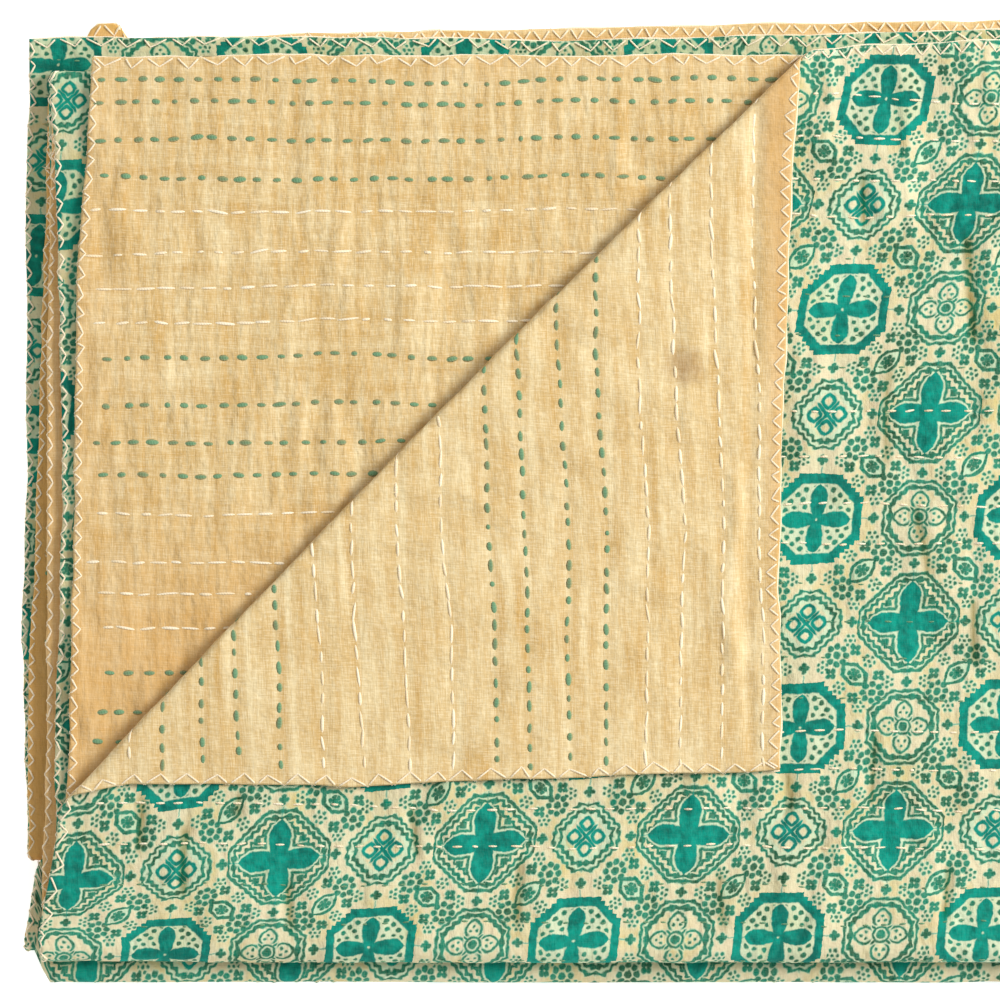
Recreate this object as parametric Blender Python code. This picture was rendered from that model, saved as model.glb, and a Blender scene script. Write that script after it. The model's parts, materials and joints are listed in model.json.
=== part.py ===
"""A hand-stitched kantha quilt, folded up into a flat pack with its top corner turned back.

The quilt is two cotton cloths stitched face to back: a printed face and a plain golden backing. It is
folded in half, backing inside, and in half again the same way, so that it lies four deep. The last
fold, in half the other way, makes eight layers. The corner of the uppermost layer is folded back over
the pack. Each cloth is one closed sheet that runs through every one of these folds.

Frame: metres, +Z up. The origin is on the surface that the pack lies on, under its middle. +X runs
from the quilt's own side edges to the last fold, and +Y from the folded front to its free end edges.

A point of a cloth is named by three numbers before it is folded:
  across  0 to 1 along the upper half from its side edge, 1 to 2 round the last fold, 2 to 3 back
          along the under half to its side edge
  along   an even number opens each of the four quarters (0, 2, 4, 6), an odd number the fold after it
  rise    its height over the middle of the quilt's thickness, positive towards the printed side
"""

import math

import bmesh
import bpy
from mathutils import Vector

MM = 0.001

# Overall size of the folded pack.
PACK_LENGTH = 450 * MM
PACK_DEPTH = 319 * MM

# Make-up of the quilt: two cloths, a hair's breadth apart.
CLOTH_THICKNESS = 1.0 * MM
CLOTH_GAP = 0.3 * MM
QUILT_HALF_THICKNESS = CLOTH_THICKNESS + CLOTH_GAP / 2

# Distance from the middle of one layer to the middle of the next.
LAYER_PITCH = 2.7 * MM

# Faces round each fold, and along each flat quarter between folds.
FOLD_SEGMENTS = 6
LAST_FOLD_SEGMENTS = 8
RUN_SEGMENTS = 4

LEFT_END = -PACK_LENGTH / 2
FRONT = -PACK_DEPTH / 2
BACK = PACK_DEPTH / 2

# How many layer pitches each quarter of the quilt lies from the middle of the pack, in the order in
# which the cloth runs. The same quarter is as far above the middle as it is below it.
LEVELS = (3.5, 0.5, 1.5, 2.5)
PACK_MIDDLE = max(LEVELS) * LAYER_PITCH + QUILT_HALF_THICKNESS
LAST_FOLD_CENTRE = PACK_LENGTH / 2 - PACK_MIDDLE

UPPER_HALF = "upper half"
UNDER_HALF = "under half"

# How far each half's side edge lies in from the pack's left end, in mm. One row a quarter, in the
# order in which the cloth runs: where the quarter starts, then a quarter, half and three quarters on.
SIDE_INSETS = {
    UPPER_HALF: (
        (22.4, 21.1, 18.5, 19.1),
        (6.6, 8.3, 8.3, 8.9),
        (10.0, 12.5, 13.9, 10.9),
        (12.0, 16.2, 17.5, 18.5),
    ),
    UNDER_HALF: (
        (20.0, 14.0, 14.0, 18.0),
        (1.0, 14.0, 11.0, 10.0),
        (9.2, 7.0, 5.3, 2.6),
        (2.0, 0.0, 1.7, 1.2),
    ),
}
END_SIDE_INSETS = {UPPER_HALF: 23.8, UNDER_HALF: 2.6}

# The five lines that bound the quarters: the first end edge, the centres of three folds, the other
# end edge. Each row gives how far in the line lies, in mm, at every fifth of the pack's length from
# the left; "from" says which side of the pack that is measured from.
LINES = (
    {
        "from": BACK,
        UPPER_HALF: (22.8, 23.1, 18.6, 11.5, 6.5, 6.5),
        UNDER_HALF: (9.0, 5.0, 3.4, 1.4, 0.0, 0.0),
    },
    {
        "from": FRONT,
        UPPER_HALF: (12.6, 12.1, 12.1, 12.1, 12.1, 12.1),
        UNDER_HALF: (5.2, 5.2, 5.2, 5.2, 5.2, 5.2),
    },
    {
        "from": BACK,
        UPPER_HALF: (19.7, 19.4, 19.1, 19.1, 19.1, 19.1),
        UNDER_HALF: (19.7, 19.4, 19.1, 19.1, 19.1, 19.1),
    },
    {
        "from": FRONT,
        UPPER_HALF: (12.6, 12.1, 12.1, 12.1, 12.1, 12.1),
        UNDER_HALF: (43.4, 36.0, 28.0, 20.0, 12.0, 5.2),
    },
    {
        "from": BACK,
        UPPER_HALF: (13.5, 12.9, 12.9, 12.5, 9.0, 6.5),
        UNDER_HALF: (6.6, 6.0, 7.3, 5.0, 3.0, 0.0),
    },
)

# The lowest fold is drawn in at its left end, and the lowest corner sticks out behind as an ear.
FIRST_EDGE = 0
FIRST_FOLD = 1
FOLD_END_DRAW = 10.6 * MM
FOLD_END_LENGTH = 7.3 * MM
EAR_CENTRE = LEFT_END + 29 * MM
EAR_HALF_WIDTH = 9 * MM
EAR_RISE = 7 * MM

# The corner of the uppermost layer turns over a crease between these two points, bowed a little.
CREASE_RIGHT = Vector((31.8 * MM, 143.2 * MM))
CREASE_LEFT = Vector((-205.8 * MM, -97.0 * MM))
CREASE_RADIUS = LAYER_PITCH / 2
CREASE_BOW = 2.6 * MM
CREASE_BOW_REACH = 45 * MM

# Where the columns of faces lie, as shares of each half from its side edge to the last fold.
UPPER_COLUMNS = (0.0, 0.017, 0.045, 0.08, 0.13, 0.2, 0.3, 0.4, 0.5, 0.6, 0.8, 1.0)
UNDER_COLUMNS = (0.0, 0.017, 0.045, 0.07, 0.1, 0.2, 0.4, 0.8, 1.0)

PRINTED_GREEN = (0.36, 0.55, 0.40)
GOLDEN_YELLOW = (0.84, 0.62, 0.30)
COTTON_ROUGHNESS = 0.9


def mix(low, high, share):
    """The value a given share of the way from low to high."""
    return low + (high - low) * share


def read_row(values, share):
    """Read evenly spaced values in mm at a share from 0 to 1, with straight lines between them."""
    place = min(max(share, 0.0), 1.0) * (len(values) - 1)
    index = min(int(place), len(values) - 2)
    return mix(values[index], values[index + 1], place - index) * MM


def side_inset(half, along):
    """How far in from the left end a half's side edge lies, at a place along the cloth."""
    quarters = SIDE_INSETS[half]
    quarter = min(int(along // 2), len(quarters) - 1)
    is_last = quarter == len(quarters) - 1
    end = END_SIDE_INSETS[half] if is_last else quarters[quarter + 1][0]
    return read_row(quarters[quarter] + (end,), along - 2 * quarter)


def half_line(number, half, x):
    """The y at which one of the five lines crosses x, on one half of the pack."""
    row = LINES[number]
    inset = read_row(row[half], (x - LEFT_END) / PACK_LENGTH)
    if half == UNDER_HALF and number == FIRST_FOLD:
        inset += FOLD_END_DRAW * max(0.0, 1 - (x - LEFT_END) / FOLD_END_LENGTH)
    if half == UNDER_HALF and number == FIRST_EDGE:
        inset -= EAR_RISE * max(0.0, 1 - abs(x - EAR_CENTRE) / EAR_HALF_WIDTH)
    return row["from"] - math.copysign(inset, row["from"])


def line_place(number, across, x):
    """The y at which one of the five lines crosses x, eased from half to half round the last fold."""
    x = min(x, LAST_FOLD_CENTRE)
    under = min(max(across - 1, 0.0), 1.0)
    return mix(half_line(number, UPPER_HALF, x), half_line(number, UNDER_HALF, x), under)


def fold_in_half(across, along, out):
    """The last fold: the x and z of a point that lies a distance out from the pack's middle."""
    if across <= 1:
        left = LEFT_END + side_inset(UPPER_HALF, along)
        return mix(left, LAST_FOLD_CENTRE, across), PACK_MIDDLE + out
    if across < 2:
        turn = (across - 1) * math.pi
        return LAST_FOLD_CENTRE + out * math.sin(turn), PACK_MIDDLE + out * math.cos(turn)
    left = LEFT_END + side_inset(UNDER_HALF, along)
    return mix(LAST_FOLD_CENTRE, left, across - 2), PACK_MIDDLE - out


def fold_up(across, along, rise):
    """The place in the pack of a point of the flat quilt."""
    quarter = min(int(along // 2), len(LEVELS) - 1)
    share = along - 2 * quarter
    facing = 1 if quarter % 2 == 0 else -1
    level = LEVELS[quarter] * LAYER_PITCH
    if share <= 1:
        x, z = fold_in_half(across, along, level + facing * rise)
        start = line_place(quarter, across, x)
        end = line_place(quarter + 1, across, x)
        return Vector((x, mix(start, end, share), z))
    turn = (share - 1) * math.pi
    next_level = LEVELS[quarter + 1] * LAYER_PITCH
    lean = math.copysign(1, level - next_level)
    radius = abs(level - next_level) / 2 + lean * facing * rise
    x, z = fold_in_half(across, along, (level + next_level) / 2 + lean * radius * math.cos(turn))
    y = line_place(quarter + 1, across, x) - facing * radius * math.sin(turn)
    return Vector((x, y, z))


def stations():
    """The across and along values of the columns and rows of a cloth's faces."""
    last_fold = [1 + step / LAST_FOLD_SEGMENTS for step in range(1, LAST_FOLD_SEGMENTS)]
    across = list(UPPER_COLUMNS) + last_fold
    across += [3 - share for share in reversed(UNDER_COLUMNS)]
    along = []
    for quarter in range(len(LEVELS)):
        along += [2 * quarter + step / RUN_SEGMENTS for step in range(RUN_SEGMENTS + 1)]
        if quarter < len(LEVELS) - 1:
            along += [2 * quarter + 1 + step / FOLD_SEGMENTS for step in range(1, FOLD_SEGMENTS)]
    return across, along


def flat_sheet(across, along, low, high):
    """A closed flat sheet, its faces pointing out, with corners at the given stations."""
    sheet = bmesh.new()
    columns = len(across) - 1
    rows = len(along) - 1
    bmesh.ops.create_grid(sheet, x_segments=columns, y_segments=rows, size=0.5)
    for corner in sheet.verts:
        corner.co.x = across[round((corner.co.x + 0.5) * columns)]
        corner.co.y = along[round((corner.co.y + 0.5) * rows)]
        corner.co.z = low
    upper = bmesh.ops.extrude_face_region(sheet, geom=sheet.faces[:], use_keep_orig=True)
    for item in upper["geom"]:
        if isinstance(item, bmesh.types.BMVert):
            item.co.z = high
    bmesh.ops.recalc_face_normals(sheet, faces=sheet.faces)
    return sheet


def is_uppermost(face):
    """Whether a face of the flat sheet becomes part of the pack's uppermost single layer."""
    return all(corner.co.x <= 1 and corner.co.y <= 1 for corner in face.verts)


def cut_crease_lines(sheet, faces):
    """Cut the uppermost layer along the lines between which its corner bends."""
    crease = (CREASE_LEFT - CREASE_RIGHT).normalized()
    outward = Vector((crease.y, -crease.x, 0))
    layer = set(faces)
    for step in range(FOLD_SEGMENTS + 1):
        offset = CREASE_RADIUS * math.pi * step / FOLD_SEGMENTS
        cut = layer | {edge for face in layer for edge in face.edges}
        cut |= {corner for face in layer for corner in face.verts}
        result = bmesh.ops.bisect_plane(
            sheet,
            geom=list(cut),
            dist=0.01 * MM,
            plane_co=CREASE_RIGHT.to_3d() + outward * offset,
            plane_no=outward,
        )
        layer = {item for item in result["geom"] if isinstance(item, bmesh.types.BMFace)}
    return {corner for face in layer for corner in face.verts}


def turn_corner(corners):
    """Bend the uppermost layer's corner over its crease, and bow the crease."""
    crease = CREASE_LEFT - CREASE_RIGHT
    length = crease.length
    crease.normalize()
    outward = Vector((crease.y, -crease.x))
    middle = PACK_MIDDLE + LEVELS[0] * LAYER_PITCH
    for corner in corners:
        start = corner.co.to_2d() - CREASE_RIGHT
        beyond = start.dot(outward)
        down = start.dot(crease)
        rise = corner.co.z - middle
        if beyond > 0:
            turn = min(beyond / CREASE_RADIUS, math.pi)
            radius = CREASE_RADIUS - rise
            spare = max(0.0, beyond - math.pi * CREASE_RADIUS)
            corner.co.z = middle + CREASE_RADIUS - radius * math.cos(turn)
            beyond = radius * math.sin(turn) - spare
        bow = CREASE_BOW * math.sin(math.pi * min(max(down / length, 0), 1))
        beyond += bow * math.exp(-((beyond / CREASE_BOW_REACH) ** 2))
        place = CREASE_RIGHT + crease * down + outward * beyond
        corner.co.x = place.x
        corner.co.y = place.y


def cotton(name, colour):
    """A plain cotton finish."""
    finish = bpy.data.materials.new(name)
    finish.use_nodes = True
    shader = finish.node_tree.nodes["Principled BSDF"]
    shader.inputs["Base Color"].default_value = (*colour, 1)
    shader.inputs["Roughness"].default_value = COTTON_ROUGHNESS
    shader.inputs["Metallic"].default_value = 0
    return finish


def folded_cloth(name, low, high, colour, collection):
    """One cloth of the quilt, between two heights over the quilt's middle, folded into the pack."""
    across, along = stations()
    sheet = flat_sheet(across, along, low, high)
    uppermost = [face for face in sheet.faces if is_uppermost(face)]
    for corner in sheet.verts:
        corner.co = fold_up(*corner.co)
    bmesh.ops.reverse_faces(sheet, faces=sheet.faces)
    turn_corner(cut_crease_lines(sheet, uppermost))
    mesh = bpy.data.meshes.new(name)
    sheet.to_mesh(mesh)
    sheet.free()
    mesh.materials.append(cotton(name, colour))
    cloth = bpy.data.objects.new(name, mesh)
    collection.objects.link(cloth)
    return cloth


def main():
    """Clear the scene and build the two cloths in a collection of their own."""
    for existing in list(bpy.data.objects):
        bpy.data.objects.remove(existing, do_unlink=True)
    collection = bpy.data.collections.new("kantha_quilt")
    bpy.context.scene.collection.children.link(collection)
    inner = CLOTH_GAP / 2
    outer = QUILT_HALF_THICKNESS
    folded_cloth("printed_face", inner, outer, PRINTED_GREEN, collection)
    folded_cloth("plain_backing", -outer, -inner, GOLDEN_YELLOW, collection)


main()
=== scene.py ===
"""The looks of a hand-stitched kantha quilt, folded up into a flat pack with its top corner turned back.

The quilt is two cotton cloths, a printed face and a plain golden backing, held together by rows of
running stitches. Both cloths, and every thread on them, are laid out flat first and then carried round
the same folds, so a row of stitches runs on from one layer of the pack to the next.

A point of the flat quilt is named by three lengths in metres:
  run    along the rows of stitches: below 0 on the pack's upper half, 0 where the last fold begins
  fall   across the rows, from the end edge of the uppermost layer to the quilt's other end edge
  rise   height over the middle of the quilt's thickness, positive towards the printed side
"""

import json
import logging
import math
from dataclasses import dataclass, field
from enum import Enum
from typing import Callable, Mapping, Optional, Sequence, Union

import bpy
import numpy as np
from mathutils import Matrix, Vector

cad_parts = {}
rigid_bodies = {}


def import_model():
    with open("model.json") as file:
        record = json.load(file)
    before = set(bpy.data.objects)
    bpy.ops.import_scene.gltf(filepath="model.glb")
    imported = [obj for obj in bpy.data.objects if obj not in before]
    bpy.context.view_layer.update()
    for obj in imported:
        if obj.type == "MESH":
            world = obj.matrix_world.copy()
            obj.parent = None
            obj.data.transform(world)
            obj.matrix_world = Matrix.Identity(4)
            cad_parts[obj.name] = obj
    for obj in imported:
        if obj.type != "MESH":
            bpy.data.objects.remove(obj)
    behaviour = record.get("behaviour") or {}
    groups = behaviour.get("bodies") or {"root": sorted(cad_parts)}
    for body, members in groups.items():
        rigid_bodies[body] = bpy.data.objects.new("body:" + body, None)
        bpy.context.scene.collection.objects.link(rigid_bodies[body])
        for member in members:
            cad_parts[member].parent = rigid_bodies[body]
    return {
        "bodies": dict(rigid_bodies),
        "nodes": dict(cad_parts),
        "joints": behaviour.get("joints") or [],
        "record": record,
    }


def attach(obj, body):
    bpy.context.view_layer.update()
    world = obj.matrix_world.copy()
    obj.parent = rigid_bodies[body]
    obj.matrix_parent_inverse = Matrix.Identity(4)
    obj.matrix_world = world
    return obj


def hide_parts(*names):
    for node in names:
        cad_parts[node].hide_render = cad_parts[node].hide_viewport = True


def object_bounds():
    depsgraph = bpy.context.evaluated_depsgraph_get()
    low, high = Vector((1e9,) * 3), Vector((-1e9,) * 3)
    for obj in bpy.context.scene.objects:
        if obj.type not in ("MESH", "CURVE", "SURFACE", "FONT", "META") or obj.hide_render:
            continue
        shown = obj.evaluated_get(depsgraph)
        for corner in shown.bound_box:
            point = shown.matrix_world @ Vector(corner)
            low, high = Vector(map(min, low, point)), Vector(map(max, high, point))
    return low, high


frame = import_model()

Array = np.ndarray
Pair = tuple[float, float]

LOG = logging.getLogger("kantha_quilt")
MM = 0.001
CAD_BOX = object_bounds()


class Side(Enum):
    """Which cloth of the quilt, as the sign of its rise."""

    PRINTED = 1
    BACKING = -1


class Half(Enum):
    """The two halves of the pack, above and below the last fold."""

    UPPER = 0
    UNDER = 1


# ---- The folds ------------

# How far each half's side edge lies in from the pack's left end, in mm. One row a quarter, in the
# order in which the cloth runs: where the quarter starts, then a quarter, half and three quarters on.
SIDE_INSETS = {
    Half.UPPER: (
        (22.4, 21.1, 18.5, 19.1),
        (6.6, 8.3, 8.3, 8.9),
        (10.0, 12.5, 13.9, 10.9),
        (12.0, 16.2, 17.5, 18.5),
    ),
    Half.UNDER: (
        (20.0, 14.0, 14.0, 18.0),
        (1.0, 14.0, 11.0, 10.0),
        (9.2, 7.0, 5.3, 2.6),
        (2.0, 0.0, 1.7, 1.2),
    ),
}
END_SIDE_INSETS = {Half.UPPER: 23.8, Half.UNDER: 2.6}


@dataclass(frozen=True)
class FoldLine:
    """A line across the pack: how far in it lies, in mm, at every fifth of the length from the left."""

    at_back: bool
    upper: tuple[float, ...]
    under: tuple[float, ...]


# The first end edge, the centres of three folds, and the other end edge.
FOLD_LINES = (
    FoldLine(True, (22.8, 23.1, 18.6, 11.5, 6.5, 6.5), (9.0, 5.0, 3.4, 1.4, 0.0, 0.0)),
    FoldLine(False, (12.6, 12.1, 12.1, 12.1, 12.1, 12.1), (5.2, 5.2, 5.2, 5.2, 5.2, 5.2)),
    FoldLine(True, (19.7, 19.4, 19.1, 19.1, 19.1, 19.1), (19.7, 19.4, 19.1, 19.1, 19.1, 19.1)),
    FoldLine(False, (12.6, 12.1, 12.1, 12.1, 12.1, 12.1), (43.4, 36.0, 28.0, 20.0, 12.0, 5.2)),
    FoldLine(True, (13.5, 12.9, 12.9, 12.5, 9.0, 6.5), (6.6, 6.0, 7.3, 5.0, 3.0, 0.0)),
)
FIRST_EDGE = 0
FIRST_FOLD = 1
QUARTERS = 4
LAST_STATION = 2 * QUARTERS - 1.0


class Grain:
    """Smooth random heights from -1 to 1 on a plane, the same on every run."""

    SIDE = 128

    def __init__(self, seed: int) -> None:
        """Draw the heights at the corners of a square net, which then repeats."""
        self.heights = np.random.default_rng(seed).uniform(-1, 1, (self.SIDE, self.SIDE))

    def __call__(self, across: Array, down: Array) -> Array:
        """The height at a place: the four nearest corners, eased by 3f squared less 2f cubed.

        Args:
            across, down: places, in grains.
        Returns:
            The heights there.
        """
        across, down = np.broadcast_arrays(np.asarray(across, float), np.asarray(down, float))
        column, row = np.floor(across).astype(int), np.floor(down).astype(int)
        right, below = across - column, down - row
        right, below = right * right * (3 - 2 * right), below * below * (3 - 2 * below)
        column, row = column % self.SIDE, row % self.SIDE
        next_column, next_row = (column + 1) % self.SIDE, (row + 1) % self.SIDE
        table = self.heights
        near = table[row, column] * (1 - right) + table[row, next_column] * right
        far = table[next_row, column] * (1 - right) + table[next_row, next_column] * right
        return near * (1 - below) + far * below


@dataclass(frozen=True)
class Relief:
    """Random heights over the flat quilt, their grains of one length along the run, one along the fall."""

    seed: int
    run_length: float
    fall_length: float
    height: float

    def __call__(self, run: Array, fall: Array) -> Array:
        """The heights at some points."""
        return self.height * Grain(self.seed)(run / self.run_length, fall / self.fall_length)


@dataclass(frozen=True)
class FoldPlan:
    """Carries the flat quilt round its folds into the pack."""

    left_end: float
    right_end: float
    front: float
    back: float
    layer_pitch: float = 2.7 * MM
    half_thickness: float = 1.15 * MM
    levels: tuple[float, ...] = (3.5, 0.5, 1.5, 2.5)
    fold_end_draw: float = 10.6 * MM
    fold_end_length: float = 7.3 * MM
    fold_end_squareness: float = 2.4
    ear_centre: float = 27 * MM
    ear_half_width: float = 7.5 * MM
    ear_rise: float = 6.5 * MM
    ear_squareness: float = 2.2
    crease_right: Pair = (31.8 * MM, 143.2 * MM)
    crease_left: Pair = (-205.8 * MM, -97.0 * MM)
    crease_bow: float = 2.6 * MM
    crease_bow_reach: float = 45 * MM
    crease_press: float = 0.26
    crease_shift: float = 1.8 * MM
    crease_loft: float = 0.5 * MM
    crease_loft_reach: float = 13 * MM
    edge_wander: float = 0.45 * MM
    wander: Grain = field(default_factory=lambda: Grain(11))

    @property
    def middle(self) -> float:
        """Height of the pack's middle, between the two halves."""
        return max(self.levels) * self.layer_pitch + self.half_thickness

    @property
    def last_fold_centre(self) -> float:
        """The x of the line that the last fold turns about."""
        return self.right_end - self.middle

    @property
    def last_fold_run(self) -> float:
        """Length of cloth in the last fold, taken on the uppermost layer."""
        return math.pi * max(self.levels) * self.layer_pitch

    def side_inset(self, half: Half, along: Array) -> Array:
        """How far in from the left end a half's side edge lies: straight lines between its insets.

        Args:
            half: which half.
            along: stations along its edge.
        Returns:
            The inset at each station.
        """
        rows = SIDE_INSETS[half]
        ends = [row[0] for row in rows[1:]] + [END_SIDE_INSETS[half]]
        knots = [2 * quarter + step / 4 for quarter in range(QUARTERS) for step in range(5)]
        insets = [inset for row, end in zip(rows, ends) for inset in row + (end,)]
        ragged = self.edge_wander * self.wander(along * 26, 3.0 + 7 * half.value)
        return np.interp(along, knots, insets) * MM + ragged

    def line(self, number: int, x: Array, under: Array) -> Array:
        """The y at which one of the five lines crosses x, eased by `under` from half to half.

        Args:
            number: which line, from the first end edge on.
            x: places along the pack.
            under: 0 on the upper half, 1 on the under half, between them round the last fold.
        Returns:
            The y of the line at each x.
        """
        row = FOLD_LINES[number]
        length = self.right_end - self.left_end
        fifths = self.left_end + length * np.linspace(0, 1, len(row.upper))
        upper = np.interp(x, fifths, row.upper) * MM
        lower = np.interp(x, fifths, row.under) * MM
        if number == FIRST_FOLD:
            end = 1 - (x - self.left_end) / self.fold_end_length
            lower = lower + self.fold_end_draw * np.clip(end * self.fold_end_squareness, 0, 1)
        if number == FIRST_EDGE:
            ear = 1 - np.abs(x - self.left_end - self.ear_centre) / self.ear_half_width
            lower = lower - self.ear_rise * np.clip(ear * self.ear_squareness, 0, 1)
        inset = upper + (lower - upper) * under
        if number in (FIRST_EDGE, QUARTERS):
            inset = inset + self.edge_wander * self.wander(x / (11 * MM), 40.0 + number + 9 * under)
        return self.back - inset if row.at_back else self.front + inset

    def across_pack(self, run: Array) -> tuple[Array, Array]:
        """Where a run lies: its x before the last fold's own turn, and its turn from 0 to pi."""
        turn = np.clip(run / self.last_fold_run, 0, 1) * math.pi
        x = self.last_fold_centre + np.minimum(run, 0) - np.maximum(run - self.last_fold_run, 0)
        return x, turn

    def bounds_of_fall(self, run: Array) -> tuple[Array, Array]:
        """The falls at which quarters and folds begin, and the y of the five lines, at each run.

        A quarter is as long as the way between its two lines on the upper half, and a fold is a
        half turn whose radius is half the height between the layers that it joins. The under half
        is eased to its own lines, so that the cloth is the same everywhere along the run.

        Args:
            run: one number a place.
        Returns:
            Both tables, with the runs on the last axis.
        """
        x, turn = self.across_pack(run)
        lines = np.stack([self.line(number, x, turn / math.pi) for number in range(QUARTERS + 1)])
        even = np.stack([self.line(number, x, 0 * turn) for number in range(QUARTERS + 1)])
        falls = [self.back - even[0]]
        for quarter in range(QUARTERS):
            falls.append(falls[-1] + np.abs(even[quarter + 1] - even[quarter]))
            if quarter < QUARTERS - 1:
                height = abs(self.levels[quarter] - self.levels[quarter + 1]) * self.layer_pitch
                falls.append(falls[-1] + math.pi * height / 2)
        return np.stack(falls), lines

    def fall_at(self, along: Array, run: Array) -> Array:
        """The fall of a station: whole numbers along are the bounds, with straight lines between.

        Args:
            along: the station.
            run: the run.
        Returns:
            The fall of each point.
        """
        falls, _ = self.bounds_of_fall(run)
        start = np.clip(np.floor(along).astype(int), 0, len(falls) - 2)
        share = along - start
        cell = np.arange(run.size).reshape(run.shape)
        flat = falls.reshape(len(falls), -1)
        return flat[start, cell] * (1 - share) + flat[start + 1, cell] * share

    def edge_run(self, half: Half, along: Array) -> Array:
        """The run of a half's side edge."""
        left = self.left_end + self.side_inset(half, along)
        if half is Half.UPPER:
            return left - self.last_fold_centre
        return self.last_fold_run + self.last_fold_centre - left

    def place(self, run: Array, fall: Array, rise: Array) -> Array:
        """Carry points of the flat quilt into the pack.

        Args:
            run, fall, rise: the three flat lengths of each point, in arrays of one shape.
        Returns:
            The points in the pack, with x, y and z on a last axis.
        """
        run, fall, rise = np.broadcast_arrays(run, fall, rise)
        shape = run.shape
        run, fall, rise = run.ravel(), fall.ravel(), rise.ravel()
        x, turn = self.across_pack(run)
        falls, lines = self.bounds_of_fall(run)
        stretch = (fall[None, :] >= falls[1:-1]).sum(axis=0)
        cell = np.arange(run.size)
        start, end = falls[stretch, cell], falls[stretch + 1, cell]
        share = (fall - start) / (end - start)
        quarter = stretch // 2
        in_fold = stretch % 2 == 1
        facing = 1 - 2 * (quarter % 2)
        level = np.array(self.levels) * self.layer_pitch
        following = np.append(level[1:], level[-1])
        lean = np.sign(level[quarter] - following[quarter])
        radius = np.abs(level[quarter] - following[quarter]) / 2 + lean * facing * rise
        bend = share * math.pi
        centre = (level[quarter] + following[quarter]) / 2
        flat_out = level[quarter] + facing * rise
        out = np.where(in_fold, centre + lean * radius * np.cos(bend), flat_out)
        this_line, next_line = lines[quarter, cell], lines[quarter + 1, cell]
        flat_y = this_line + (next_line - this_line) * share
        y = np.where(in_fold, next_line - facing * radius * np.sin(bend), flat_y)
        points = np.stack([x + out * np.sin(turn), y, self.middle + out * np.cos(turn)], axis=-1)
        uppermost = (stretch == 0) & (run <= 0)
        points[uppermost] = self.turn_corner(points[uppermost])
        return points.reshape(shape + (3,))

    def crease_line(self) -> tuple[Array, Array, Array, float]:
        """The crease's right end, its direction, the way out over the corner, and its length."""
        right, left = np.array(self.crease_right), np.array(self.crease_left)
        length = float(np.linalg.norm(left - right))
        along = (left - right) / length
        return right, along, np.array([along[1], -along[0]]), length

    def turn_corner(self, points: Array) -> Array:
        """Bend the uppermost layer's corner over its crease.

        A point beyond the crease is wound round a half circle, pressed narrow, and then laid back.
        The turned part stands a little higher beside the crease and settles away from it. The
        crease bows out.

        Args:
            points: points of the uppermost layer, before the turn.
        Returns:
            The points after it.
        """
        right, along, outward, length = self.crease_line()
        start = points[:, :2] - right
        beyond, down = start @ outward, start @ along
        arch = np.sin(math.pi * np.clip(down / length, 0, 1))
        layer = self.middle + self.levels[0] * self.layer_pitch
        rise = points[:, 2] - layer
        bend_radius = self.layer_pitch / 2
        turn = np.clip(beyond / bend_radius, 0, math.pi)
        radius = bend_radius - rise
        spare = np.maximum(0, beyond - math.pi * bend_radius)
        loft = self.crease_loft * np.sqrt(np.clip(arch, 0, 1))
        lift = loft * (1 - np.cos(turn)) / 2 * np.exp(-((spare / self.crease_loft_reach) ** 2))
        turned = beyond > 0
        height = layer + bend_radius - radius * np.cos(turn) + lift
        beyond = np.where(turned, self.crease_press * radius * np.sin(turn) - spare, beyond)
        bow = self.crease_shift + self.crease_bow * arch
        beyond = beyond + bow * np.exp(-((beyond / self.crease_bow_reach) ** 2))
        ground = right + along * down[:, None] + outward * beyond[:, None]
        return np.column_stack([ground, np.where(turned, height, points[:, 2])])

    def beyond_crease(self, run: Array, fall: Array) -> Array:
        """How far beyond the crease of the turned corner a point lies on the flat first quarter."""
        right, _, outward, _ = self.crease_line()
        x, y = run + self.last_fold_centre - right[0], self.back - fall - right[1]
        return x * outward[0] + y * outward[1]

    def flat_spot(self, x: float, y: float, layer: "Layer") -> Pair:
        """The run and fall of a spot seen from above on one of the layers that show.

        Args:
            x, y: the spot in the pack.
            layer: which layer it is on.
        Returns:
            Its run and its fall on the flat quilt.
        """
        if layer is Layer.TURNED_CORNER:
            right, along, outward, _ = self.crease_line()
            start = np.array([x, y]) - right
            over = math.pi * self.layer_pitch / 2 - start @ outward
            x, y = right + along * (start @ along) + outward * over
        run = x - self.last_fold_centre
        if layer is Layer.SECOND:
            falls, lines = self.bounds_of_fall(np.array([run]))
            return run, float(falls[-2, 0] + y - lines[3, 0])
        return run, self.back - y


class Layer(Enum):
    """The layers whose faces show from above."""

    TOP = "the printed face"
    TURNED_CORNER = "the turned corner"
    SECOND = "the layer under the turned corner"


# ---- Stitch rows and the way that the cloth puckers between them ------------

class Thread(Enum):
    """The two sewing threads."""

    IVORY = "ivory"
    GREEN = "green"


# How far each row lies from the back of the pack, in mm, on the uppermost layer and on the next one.
FIRST_ROWS = (
    27.5, 40.5, 54.0, 65.5, 79.0, 91.5, 105.0, 116.0, 130.5,
    145.0, 160.0, 172.5, 186.0, 199.0, 211.0, 224.5, 235.5,
)
LAST_ROWS = (
    20.5, 27.5, 39.5, 52.5, 63.5, 77.5, 89.0, 100.5, 112.0, 127.5,
    139.5, 150.5, 163.5, 179.0, 190.0, 202.5, 216.0, 228.5, 239.0,
)


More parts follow.
